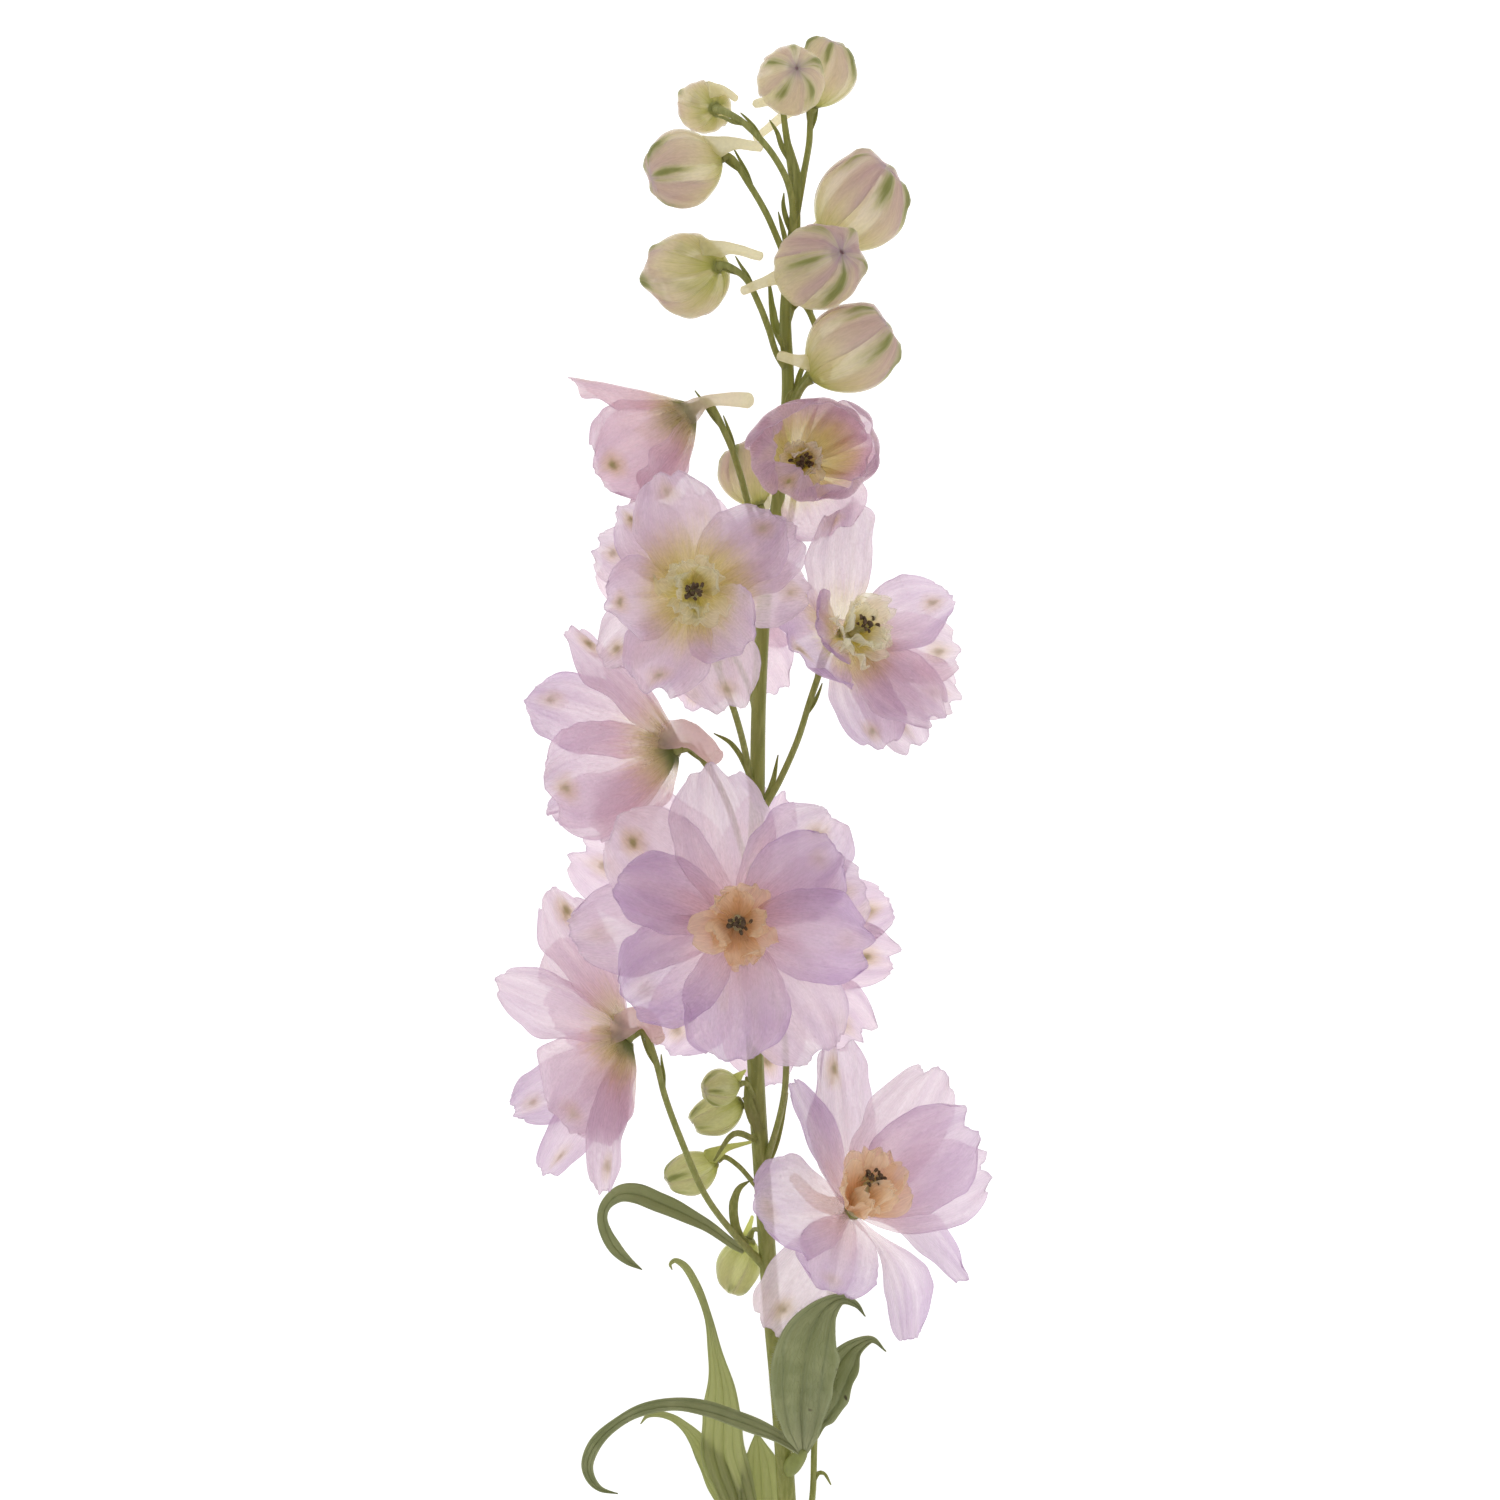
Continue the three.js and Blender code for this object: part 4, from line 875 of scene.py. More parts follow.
def leaf_surface(nodes):
    """A soft green blade: sunk veins with pale lips, painted shade that darkens the veins' furrows and the
    fine net between them, and brown specks.
    """
    along, across, seed, pale, count = nodes.marks("along", "across", "seed", "spot", "tint")
    place = nodes.object_place()
    cloud = nodes.noise(place, 150.0, 3.0)
    grain = nodes.noise(place, 2600.0, 3.0, 0.6)
    fibres = nodes.noise(nodes.vector(across * 16, along * 5, seed * 60), 1.0, 3.0)
    wander = nodes.noise(nodes.vector(across * 1.2, along * 2.5, seed * 40))
    track = across * count + (wander - 0.5) * abs(across) * 1.2
    ridge = abs((track * math.pi).math("SINE"))
    # the line of each sunk vein, where painted shade darkens its furrow
    line = ridge.ramp(0.0, 0.22, 1.0, 0.0)
    lip = ridge.ramp(0.05, 0.5, 1.0, 0.0)
    net_place = nodes.vector(across * 7, along * 22 + abs(across) * 3, seed * 10)
    net = nodes.add(
        "ShaderNodeTexVoronoi", {"feature": "DISTANCE_TO_EDGE"}, {"Vector": net_place, "Scale": 1.0}
    ).ramp(0.0, 0.1, 1.0, 0.0)
    rim = abs(across).ramp(0.88, 0.98)
    shade = nodes.tint(cloud.ramp(0.35, 0.7), LEAF_DARK, LEAF_PALE)
    low = along.ramp(0.0, 0.4, 0.5, 0.0)
    shade = nodes.tint((pale * 0.85 + low).held(), shade, LEAF_SHEATH)
    shade = nodes.tint(fibres.ramp(0.45, 0.75) * 0.5, shade, LEAF_FIBRE)
    shade = nodes.tint((lip * 0.35 + rim * 0.6).held(), shade, LEAF_LIP)
    shade = nodes.tint((line * 0.28 + net * 0.08).held(), shade, LEAF_VEIN_SHADE)
    cells = nodes.add("ShaderNodeTexVoronoi", None, {"Vector": place, "Scale": 95.0})
    speck = cells.ramp(0.04, 0.09, 1.0, 0.0) * cloud.ramp(0.5, 0.56)
    shade = nodes.tint(speck * 0.85, shade, LEAF_SPECK)
    relief = grain * 0.5 + fibres * 0.5 - lip * 0.7 - line * 0.5 - net * 0.3
    skin = nodes.skin(shade, 0.6, nodes.bump(relief, 0.0004, 0.7), 0.3)
    share = (0.28 + pale * 0.38 - line * 0.12 - speck * 0.3 + (fibres - 0.5) * 0.2).held()
    return nodes.blend(share, skin, nodes.through(LEAF_LIGHT))


def plain_surface(colour, rough=0.6, light=None, share=0.0):
    """One colour that clouds a little, and lets a share of light through."""
    def surface(nodes):
        cloud = nodes.noise(nodes.object_place(), 700.0, 2.0)
        darker = tuple(c * 0.78 for c in colour[:3]) + (1.0,)
        shade = nodes.tint(cloud.ramp(0.3, 0.7), darker, colour)
        skin = nodes.skin(shade, rough, nodes.bump(cloud, 0.0001, 0.5))
        return nodes.blend(share, skin, nodes.through(light)) if light else skin

    return surface


SEPAL = finish("petal_lilac", sepal_surface)
BEE_PEACH = finish("bee_peach", bee_surface(tone(254, 236, 210), tone(248, 218, 172), 0.64))
BEE_CREAM = finish("bee_cream", bee_surface(tone(255, 254, 238), tone(252, 247, 178), 0.84))
BUD_SKIN = finish("bud_cream", bud_surface(tone(253, 248, 229), tone(232, 210, 221), 0.3))
SMALL_BUD_SKIN = finish("bud_green", bud_surface(tone(244, 246, 208), tone(236, 230, 196), 0.7))
SPUR_SKIN = finish("spur_rose", spur_surface)
STEM_SKIN = finish("stem_green", stem_surface)
LEAF_SKIN = finish("leaf_green", leaf_surface)
HAIR = finish("hair_pale", plain_surface(tone(214, 216, 180), 0.5, tone(220, 220, 190), 0.5))
NODE_SKIN = finish("node_green", plain_surface(tone(160, 166, 96), 0.5, STEM_LIGHT, 0.3))
PITH = finish("pith_pale", plain_surface(tone(206, 212, 160), 0.7))
ANTHER = finish("anther_dark", plain_surface(tone(92, 70, 46), 0.6))
BUD_HEART = finish("bud_heart", plain_surface(tone(186, 160, 172), 0.6, tone(206, 184, 196), 0.5))
SMALL_SPUR_SKIN = finish("spur_green", plain_surface(tone(216, 218, 160), 0.5, tone(232, 234, 176), 0.85))
THREAD = finish("thread_pale", plain_surface(tone(226, 222, 180), 0.5, tone(226, 222, 180), 0.5))

# ---- Geometry Nodes

KINDS = {
    "material": "NodeSocketMaterial",
    "number": "NodeSocketFloat",
    "count": "NodeSocketInt",
    "object": "NodeSocketObject",
    "vector": "NodeSocketVector",
}


class Tree(Nodes):
    """A Geometry Nodes tree with named inputs, each given its kind and its value."""

    def __init__(self, name, **inputs):
        super().__init__(bpy.data.node_groups.new(name, "GeometryNodeTree"))
        face = self.tree.interface
        face.new_socket("Geometry", in_out="INPUT", socket_type="NodeSocketGeometry")
        for label, (kind, value) in inputs.items():
            socket = face.new_socket(label, in_out="INPUT", socket_type=KINDS[kind])
            if kind in ("number", "count"):
                socket.default_value = value
        face.new_socket("Geometry", in_out="OUTPUT", socket_type="NodeSocketGeometry")
        self.source = self.tree.nodes.new("NodeGroupInput")

    def input(self, label):
        return Value(self, self.source.outputs[label])

    def random(self, kind, low, high, seed):
        slots = {"FLOAT": (2, 3, 1), "FLOAT_VECTOR": (0, 1, 0)}[kind]
        sockets = {slots[0]: low, slots[1]: high, "Seed": seed}
        return self.add("FunctionNodeRandomValue", {"data_type": kind}, sockets, slots[2])

    def scatter(self, points, thing, upright, sizes, lean, seeds):
        """A copy of thing on each point, sized between two sizes, turned at random and leaning by up
        to lean to either side."""
        sockets = {
            "Points": points,
            "Instance": thing,
            "Rotation": upright,
            "Scale": self.random("FLOAT", *sizes, seeds[0]),
        }
        placed = self.add("GeometryNodeInstanceOnPoints", None, sockets)
        angles = self.random("FLOAT_VECTOR", (-lean, -lean, 0.0), (lean, lean, TAU), seeds[1])
        turn = self.add("FunctionNodeEulerToRotation", None, {"Euler": angles})
        sockets = {"Instances": placed, "Rotation": turn}
        leaning = self.add("GeometryNodeRotateInstances", None, sockets)
        return self.add("GeometryNodeRealizeInstances", None, {"Geometry": leaning})

    def wear(self, geometry):
        """geometry in the material that the tree is given."""
        sockets = {"Geometry": geometry, "Material": self.input("Material")}
        return self.add("GeometryNodeSetMaterial", None, sockets)

    def end(self, geometry):
        out = self.tree.nodes.new("NodeGroupOutput")
        self.tree.links.new(geometry.socket, out.inputs[0])
        return self


def grown(tree, data, **settings):
    """The plain mesh that a tree makes of a curve or a mesh, with its inputs set."""
    holder = bpy.data.objects.new("holder", data)
    bpy.context.scene.collection.objects.link(holder)
    modifier = holder.modifiers.new("grow", "NODES")
    modifier.node_group = tree.tree
    for item in tree.tree.interface.items_tree:
        if item.item_type == "SOCKET" and item.in_out == "INPUT" and item.name in settings:
            modifier[item.identifier] = settings[item.name]
    ready = holder.evaluated_get(bpy.context.evaluated_depsgraph_get())
    mesh = bpy.data.meshes.new_from_object(ready)
    holder.modifiers.clear()
    bpy.data.objects.remove(holder)
    return mesh


def sweep_tree():
    """Round rods along curves, with their points' radii, low ribs along them and a lumpy surface."""
    tree = Tree(
        "sweep_stems",
        Sides=("count", 12),
        Ribs=("number", 5.0),
        Depth=("number", 0.0),
        Rough=("number", 0.0),
        Material=("material", None),
    )
    sockets = {"Resolution": tree.input("Sides"), "Radius": 1.0}
    ring = tree.add("GeometryNodeCurvePrimitiveCircle", None, sockets)
    share = tree.add("GeometryNodeSplineParameter")
    swell = (share * (tree.input("Ribs") * TAU)).math("COSINE") * tree.input("Depth") + 1.0
    place = tree.add("GeometryNodeInputPosition")
    ribbed = tree.add("ShaderNodeVectorMath", {"operation": "SCALE"}, {0: place, "Scale": swell})
    profile = tree.add("GeometryNodeSetPosition", None, {"Geometry": ring, "Position": ribbed})
    sockets = {
        "Curve": tree.input("Geometry"),
        "Profile Curve": profile,
        "Scale": tree.add("GeometryNodeInputRadius"),
        "Fill Caps": True,
    }
    body = tree.add("GeometryNodeCurveToMesh", None, sockets)
    place = tree.add("GeometryNodeInputPosition")
    lump = (tree.noise(place, LUMPS) - 0.5) * tree.input("Rough")
    out = {0: tree.add("GeometryNodeInputNormal"), "Scale": lump}
    shift = tree.add("ShaderNodeVectorMath", {"operation": "SCALE"}, out)
    body = tree.add("GeometryNodeSetPosition", None, {"Geometry": body, "Offset": shift})
    return tree.end(tree.wear(body))


def hair_tree():
    """Fine pointed hairs that stand on a mesh's faces and lean at random."""
    tree = Tree(
        "grow_hairs",
        Density=("number", 1e6),
        Length=("number", 0.0005),
        Root=("number", 0.00003),
        Seed=("count", 1),
        Material=("material", None),
    )
    taken = {"Mesh": "Geometry", "Density": "Density", "Seed": "Seed"}
    sockets = {socket: tree.input(label) for socket, label in taken.items()}
    points = tree.add("GeometryNodeDistributePointsOnFaces", None, sockets)
    upright = Value(tree, points.socket.node.outputs["Rotation"])
    sockets = {
        "Vertices": 3,
        "Radius Top": 0.0,
        "Radius Bottom": tree.input("Root"),
        "Depth": tree.input("Length"),
    }
    hair = tree.add("GeometryNodeMeshCone", None, sockets)
    return tree.end(tree.wear(tree.scatter(points, hair, upright, HAIR_SIZES, HAIR_LEAN, (7, 11))))


def stamen_tree():
    """Copies of one stamen on the points of a small disc, each turned and sized at random."""
    tree = Tree(
        "ring_stamens",
        Stamen=("object", None),
        Facing=("vector", None),
        Seed=("count", 1),
    )
    stamen = tree.add("GeometryNodeObjectInfo", None, {"Object": tree.input("Stamen")}, "Geometry")
    sockets = {"Vector": tree.input("Facing")}
    upright = tree.add("FunctionNodeAlignRotationToVector", {"axis": "Z"}, sockets)
    seeds = (tree.input("Seed"), tree.input("Seed"))
    points = tree.input("Geometry")
    return tree.end(tree.scatter(points, stamen, upright, STAMEN_SIZES, STAMEN_LEAN, seeds))


SWEEP = sweep_tree()
HAIRS = hair_tree()
RING = stamen_tree()

# ---- Bodies


class Body:
    """Gathers closed sheets and grown meshes into one piece, with one slot for each finish."""

    def __init__(self):
        self.points = []
        self.faces = []
        self.worn = []
        self.finishes = []
        self.marks = {name: [] for name in MARKS}
        self.count = 0

    def add(self, points, faces, material, **marks):
        """points are in the frame's metres."""
        if material not in self.finishes:
            self.finishes.append(material)
        self.points.append(points)
        self.faces += (np.asarray(faces) + self.count).tolist()
        self.worn += [self.finishes.index(material)] * len(faces)
        for name in MARKS:
            self.marks[name].append(np.broadcast_to(marks.get(name, 0.0), (len(points),)))
        self.count += len(points)

    def sheet(self, front, back, material, **marks):
        """A closed sheet from the grids of its two faces."""
        a = np.arange(front.shape[0] * front.shape[1]).reshape(front.shape[:2])
        b = a + a.size
        rim = np.concatenate([a[0, :-1], a[:-1, -1], a[-1, :0:-1], a[:0:-1, 0]])
        after = np.roll(rim, -1)
        faces = np.concatenate(
            [
                np.stack([a[:-1, :-1], a[1:, :-1], a[1:, 1:], a[:-1, 1:]], -1).reshape(-1, 4),
                np.stack([b[:-1, :-1], b[:-1, 1:], b[1:, 1:], b[1:, :-1]], -1).reshape(-1, 4),
                np.stack([rim, after, after + a.size, rim + a.size], -1),
            ]
        )
        points = np.concatenate([front.reshape(-1, 3), back.reshape(-1, 3)])
        both = {k: np.tile(np.broadcast_to(v, a.shape).reshape(-1), 2) for k, v in marks.items()}
        self.add(metres(points), faces, material, **both)

    def tube(self, rings, material, **marks):
        """A closed tube from rows of rings, which turn to the right about the tube's way."""
        rows, around = rings.shape[:2]
        a = np.arange(rows * around).reshape(rows, around)
        b = np.roll(a, -1, axis=1)
        sides = np.stack([a[:-1], b[:-1], b[1:], a[1:]], -1).reshape(-1, 4)
        caps = [a[0, ::-1].tolist(), a[-1].tolist()]
        base = self.count
        both = {k: np.broadcast_to(v, a.shape).reshape(-1) for k, v in marks.items()}
        self.add(metres(rings.reshape(-1, 3)), sides, material, **both)
        self.faces += [[base + p for p in cap] for cap in caps]
        self.worn += [self.finishes.index(material)] * 2

    def take(self, mesh, **marks):
        """Takes in a grown mesh with its materials."""
        points = np.zeros(len(mesh.vertices) * 3)
        mesh.vertices.foreach_get("co", points)
        base = self.count
        self.points.append(points.reshape(-1, 3))
        for face in mesh.polygons:
            material = mesh.materials[face.material_index]
            if material not in self.finishes:
                self.finishes.append(material)
            self.faces.append([base + v for v in face.vertices])
            self.worn.append(self.finishes.index(material))
        for name in MARKS:
            self.marks[name].append(np.full(len(mesh.vertices), marks.get(name, 0.0)))
        self.count += len(mesh.vertices)
        bpy.data.meshes.remove(mesh)

    def mesh(self, name):
        mesh = bpy.data.meshes.new(name)
        mesh.from_pydata(np.concatenate(self.points).tolist(), [], self.faces)
        for material in self.finishes:
            mesh.materials.append(material)
        mesh.polygons.foreach_set("material_index", self.worn)
        mesh.polygons.foreach_set("use_smooth", [True] * len(self.faces))
        for mark, rows in self.marks.items():
            attribute = mesh.attributes.new(mark, "FLOAT", "POINT")
            attribute.data.foreach_set("value", np.concatenate(rows).astype(np.float32))
        mesh.validate()
        return mesh

    def piece(self, name, node, slot):
        piece = bpy.data.objects.new(name, self.mesh(name))
        bpy.context.scene.collection.objects.link(piece)
        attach(piece, "root")
        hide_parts(node)
        return piece


def curves(runs):
    """A curve object's data from runs of x, y, z and radius, in millimetres."""
    data = bpy.data.curves.new("runs", "CURVE")
    data.dimensions = "3D"
    for run in runs:
        run = np.asarray(run, float)
        line = data.splines.new("POLY")
        line.points.add(len(run) - 1)
        places = np.hstack([metres(run[:, :3]), np.ones((len(run), 1))])
        line.points.foreach_set("co", places.reshape(-1))
        line.points.foreach_set("radius", run[:, 3] / 1000)
    return data


def swept(runs, material, sides=12, ribs=5.0, depth=0.0, rough=0.0):
    """Round rods along runs. rough is how far, in millimetres, their surface swells and sinks."""
    data = curves(runs)
    settings = {"Sides": sides, "Ribs": ribs, "Depth": depth, "Rough": rough * 0.003}
    mesh = grown(SWEEP, data, Material=material, **settings)
    bpy.data.curves.remove(data)
    return mesh


def thickened(middle, thickness):
    """The two faces of a sheet over the grid of its middle points. What would reach below the
    surface lies on it."""
    du = np.gradient(middle, axis=0)
    dv = np.gradient(middle, axis=1)
    normal = unit(np.cross(du, dv) + 1e-9)
    half = (np.asarray(thickness) / 2)[..., None] if np.ndim(thickness) else thickness / 2
    front = middle + normal * half
    back = middle - normal * half
    lowest = np.minimum(front[..., 2], back[..., 2])
    sinks = lowest < LOWEST
    for face in (front, back):
        height = face[..., 2]
        above = np.maximum(height, LOWEST + 2 * np.max(half))
        lifted = np.where(height <= lowest, LOWEST, above)
        face[..., 2] = np.where(sinks, lifted, height)
    return front, back


# ---- Petals


def petal_grid(rows, columns, round_power, slim):
    """Rows and columns over a petal whose end is round: how far along and across each point is, the
    same across as a share of that row's half width, and that half width."""
    s = np.linspace(0, 1, rows + 1)[:, None]
    v = np.sin(np.linspace(-1, 1, columns + 1) * math.pi / 2)[None, :]
    below = np.clip(1 - s / WIDEST, 0, 1)
    above = np.clip((s - WIDEST) / (1 - WIDEST), 0, 1)
    end = END * above
    q = round_power
    width_below = CLAW + (1 - CLAW) * (1 - below**1.9) ** (0.85 + slim)
    width_above = (1 - above**q * (1 - end**q)) ** (1 / q)
    width = np.where(s < WIDEST, width_below, width_above) + 0 * v
    reach = above * (1 - (end * np.abs(v)) ** q) ** (1 / q)
    u = np.where(s < WIDEST, s + 0 * v, WIDEST + (1 - WIDEST) * reach)
    return u, v + 0 * s, width


def petal_middle(heart, facing, form, root, rng, rows, columns, roll=0.0):
    """The grid of a petal's middle points, with how far along and across it each one is."""
    tip = np.array(form["tip"], float)
    width, bow, bulge = form["width"], form["bow"], form["bulge"]
    blunt, point = form.get("blunt", 0.2), form.get("point", 0.0)
    frill, ragged = form.get("frill", 0.1), form.get("ragged", 0.03)
    outward = unit((tip - heart) - facing * np.dot(tip - heart, facing))
    side = np.cross(facing, outward)
    start = heart + outward * root[0] + facing * root[1]
    length = np.linalg.norm(tip - start)
    control = (start + tip) / 2 - facing * bow * length + outward * bulge * length
    u, v, share = petal_grid(rows, columns, 2.05 + 0.8 * blunt - 0.75 * point, form.get("slim", 0.0))
    tips, notch = waves(rng, 0.3, 0.9 + 12 * ragged), form.get("notch", 0.0)
    ends = smooth(u, 0.55, 1)
    teeth = 0.2 * waves(rng, 2.0, 4.5, 7)(v)
    reach = u * (1 + ends * (ragged * (tips(v) + teeth) - notch * np.exp(-((v / 0.2) ** 2))))
    reach = reach + 0.02 * point * ends * np.exp(-((v / 0.12) ** 2))
    t = reach[..., None]
    spine = (1 - t) ** 2 * start + 2 * t * (1 - t) * control + t**2 * tip
    heading = 2 * (1 - t) * (control - start) + 2 * t * (tip - control)
    tangent = unit(heading)
    twist = form.get("twist", 0.0) * u
    across = turned(np.broadcast_to(side, tangent.shape), tangent, np.asarray(roll + twist))
    normal = np.cross(tangent, across)
    left, right, low, high = (waves(rng, 0.8, 3.2) for _ in range(4))
    fine_left, fine_right = waves(rng, 4, 8), waves(rng, 4, 8)
    edge = np.where(v < 0, left(u) + 0.3 * fine_left(u), right(u) + 0.3 * fine_right(u))
    half = width / 2 * share
    half = half * (1 + ragged * edge * np.abs(v) ** 3)
    lifted = np.where(v < 0, low(u), high(u)) * frill * smooth(u, 0.1, 0.6) * np.abs(v) ** 2.5
    crest = waves(rng, 0.5, 1.6)(v + 0.4 * u) * frill * 0.6 * smooth(u, 0.6, 1)
    folds = waves(rng, 0.8, 2.6)
    flutes = folds(v + 0.15 * np.sin(3 * u)) * 0.022 * smooth(u, 0.05, 0.4)
    flutes = flutes + waves(rng, 2.5, 5)(0.7 * u + 0.8 * v) * 0.008 * smooth(u, 0.2, 0.6)
    cup = form.get("cup", PETAL_CUP)
    rise = cup * half * v**2 + width / 2 * (lifted + crest + flutes)
    sway = form.get("sway", 0.0) * length * np.sin(math.pi * u)
    middle = spine + across * (half * v + sway)[..., None] + normal * rise[..., None]
    return middle, u, v


def add_petal_sheet(body, flower, form, grid, violet, rng):
    """Closes a petal round the grid of its middle points and gives it its marks. violet is the least
    and the most that it can be tinted."""
    middle, u, v = grid
    front, back = thickened(middle, SEPAL_THICKNESS * (1 - 0.5 * np.abs(v) ** 8))
    marks = {"along": u, "across": v, "seed": rng.uniform(0, 1), "spot": form.get("spot", 0.0)}
    tint = form.get("tint", rng.uniform(*violet))
    body.sheet(front, back, SEPAL, glow=flower["glow"], tint=tint, rose=flower["rose"], **marks)


def add_sepal(body, flower, form, is_outer, rng):
    heart, facing = heart_of(flower)
    root = (SEPAL_ROOT["radius"], SEPAL_ROOT["outer" if is_outer else "inner"])
    form = {**form, "width": form["width"] * PETAL_SPREAD}
    form.setdefault("twist", rng.uniform(-0.18, 0.18))
    form.setdefault("sway", rng.uniform(-0.02, 0.02))
    grid = petal_middle(heart, facing, form, root, rng, *SEPAL_GRID, SEPAL_ROLL)
    add_petal_sheet(body, flower, form, grid, (0.0, 0.4) if is_outer else flower["violet"], rng)


def add_wrapped(body, flower, form, rng):
    """A petal that follows the wall of a half shut cup, whose rim turns inward."""
    heart, facing = heart_of(flower)
    right = unit(np.cross([0, 1, 0], facing))
    up = np.cross(facing, right)
    u, v, share = petal_grid(*CUP_GRID, CUP_ROUND, 0.0)
    over = CUP_FOOT + (form["over"] - CUP_FOOT) * u
    across = form["width"] / 2 * share * v / (CUP["wide"] * np.sin(np.minimum(over, 1.9)) + 1.0)
    turn = math.radians(form["turn"]) + across
    crest, folds, slow = waves(rng, 0.4, 1.2), waves(rng, 0.8, 2.4), waves(rng, 0.3, 0.8)
    lap = 0.04 * v + 0.03 * slow(u)
    far = np.sin(over) * form["wall"] * (1 + lap + 0.035 * crest(v + 0.4 * u) * smooth(u, 0.4, 1))
    far = far + 0.012 * folds(v + 0.2 * u) * smooth(u, 0.1, 0.5)
    high = CUP["high"] * (1 - np.cos(over)) * (1 + 0.05 * slow(v * 0.6 + 2) * u) - 0.5
    wide, tall = np.cos(turn) * CUP["wide"], np.sin(turn) * CUP["tall"]
    ring = right * wide[..., None] + up * tall[..., None]
    lean = np.array(CUP["lean"]) * smooth(u, 0, 0.55)[..., None]
    middle = heart + facing * high[..., None] + ring * far[..., None] + lean
    add_petal_sheet(body, flower, form, (middle, u, v), flower["violet"], rng)


def add_spur(body, flower, rng):
    """The spur: a flat wide mouth among the petals' feet that narrows past its knee to a blunt end,
    with wrinkles along and across it."""
    heart, facing = heart_of(flower)
    knee, end = (np.array(p, float) for p in flower["spur"])
    root, middle, last = flower.get("spur_radii", SPUR_RADII)
    reach = knee - heart
    out = unit(reach - facing * np.dot(reach, facing))
    begin = heart + out * root * 1.1 + facing * 5
    neck = heart + out * root * 1.05 - facing * 0.3
    way = unit(end - knee) * last
    stations = [
        (*begin, root * 1.7, 0.7), (*neck, root * 1.2, root * 0.8), (*knee, middle, middle),
        (*end, last, last), (*(end + way * 0.45), last * 0.88, last * 0.88),
        (*(end + way * 0.8), last * 0.5, last * 0.5), (*(end + way * 0.9), last * 0.15, last * 0.15),
    ]
    rows = spline(stations, 9)
    places, wide, deep = rows[:, :3], rows[:, 3, None], rows[:, 4, None]
    tangent = unit(np.gradient(places, axis=0))
    side = unit(np.cross(tangent, out))
    depth = np.cross(tangent, side)
    u = np.linspace(0, 1, len(rows))[:, None]
    angle = np.linspace(0, TAU, 29)[None, :-1]
    bend, drift = waves(rng, 0.8, 2), waves(rng, 1, 3)
    folds = 0.06 * np.sin(3 * angle + 2 * bend(u)) + 0.035 * np.sin(7 * angle + 3 * drift(u))
    rings = 0.03 * np.sin(TAU * 6 * u + 2 * np.sin(angle + 1))
    rings = rings + 0.02 * np.sin(TAU * 11 * u - 3 * np.cos(angle))
    swell = 1 + (folds + rings) * smooth(u, 0.0, 0.2) * (1 - smooth(u, 0.7, 0.95) * 0.7)
    a, b = wide * np.cos(angle) * swell, deep * np.sin(angle) * swell
    tube = places[:, None] + side[:, None] * a[..., None] + depth[:, None] * b[..., None]
    body.tube(tube, SPUR_SKIN, along=u, rose=flower.get("spur_rose", 0.5))


def bloom(name, flower, index):
    """A flower's petals with their spur, on a small green receptacle."""
    rng = np.random.default_rng(SEEDS["bloom"] + index)
    heart, facing = heart_of(flower)
    body = Body()
    for k, form in enumerate(flower["petals"]):
        if "turn" in form:
            add_wrapped(body, flower, form, rng)
        else:
            add_sepal(body, flower, form, k < flower["outer"], rng)
    body.take(swept([spline(rod(heart, facing, RECEPTACLE), 4)], STEM_SKIN, 16))
    add_spur(body, flower, rng)
    body.piece(f"{name}_petals", f"bloom_{name}_sepals", "sepal_lilac")


def bee(name, flower, index):
    """Three rings of small ragged petals round the stamens."""
    rng = np.random.default_rng(SEEDS["bee"] + index)
    heart, facing = heart_of(flower)
    aside = unit(np.cross(facing, ALMOST_UP))
    reach, height = flower["bee"]["reach"], flower["bee"]["height"]
    lean = np.array(flower["bee"].get("lean", NO_LEAN), float)
    peach = name.startswith(("lower", "large"))
    material = BEE_PEACH if peach else BEE_CREAM
    body = Body()
    for ring, (count, share, rise, narrow) in enumerate(BEE_RINGS):
        for k in range(count):
            angle = (k + 0.4 * ring + rng.uniform(-0.38, 0.38)) / count * TAU
            out = turned(aside, facing, angle)
            far = share * rng.uniform(0.72, 1.22)
            tip = heart + lean + out * reach * far + facing * height * rise * rng.uniform(0.8, 1.2)
            wide = reach * rng.uniform(0.75, 1.15) * narrow
            form = petal(
                *tip, wide, 0.05, rng.uniform(0.02, 0.2), blunt=rng.uniform(0.8, 1.7), frill=0.25,
                ragged=0.035, notch=rng.uniform(0, 0.12), twist=rng.uniform(-0.6, 0.6),
                cup=rng.uniform(-0.3, 0.6), sway=rng.uniform(-0.08, 0.08),
            )
            middle, u, v = petal_middle(heart, facing, form, BEE_ROOT, rng, *BEE_GRID)
            front, back = thickened(middle, BEE_THICKNESS)
            body.sheet(front, back, material, along=u, across=v, seed=rng.uniform(0, 1))
    disc = rod(heart, facing, [(1.35, 1.9), (1.8, 2.0), (2.1, 1.5)])
    body.take(swept([disc], THREAD, 14))
    body.piece(f"{name}_inner_petals", f"bloom_{name}_bee", "bee_peach" if peach else "bee_cream")


def stamen_pattern():
    """One stamen: a thread that bends outwards and two dark lobes at its end. Its foot is at 0."""
    body = Body()
    thread = [(0, 0, 0, 0.16), (0.1, 0, 1.6, 0.13), (0.5, 0, 2.9, 0.1)]
    lobes = [
        [(0.1, s * 0.14, 2.6, 0.1), (0.35, s * 0.19, 2.9, 0.19), (0.65, s * 0.18, 3.1, 0.21),
         (0.95, s * 0.12, 3.0, 0.16), (1.1, s * 0.08, 2.85, 0.07)]
        for s in (-1, 1)
    ]
    shift = np.array([*(-FOOT), 0.0])
    body.take(swept([spline(thread, 4) + shift], THREAD, 5))
    body.take(swept([spline(lobe, 3) + shift for lobe in lobes], ANTHER, 7))
    pattern = bpy.data.objects.new("stamen_pattern", body.mesh("stamen_pattern"))
    bpy.context.scene.collection.objects.link(pattern)
    return pattern


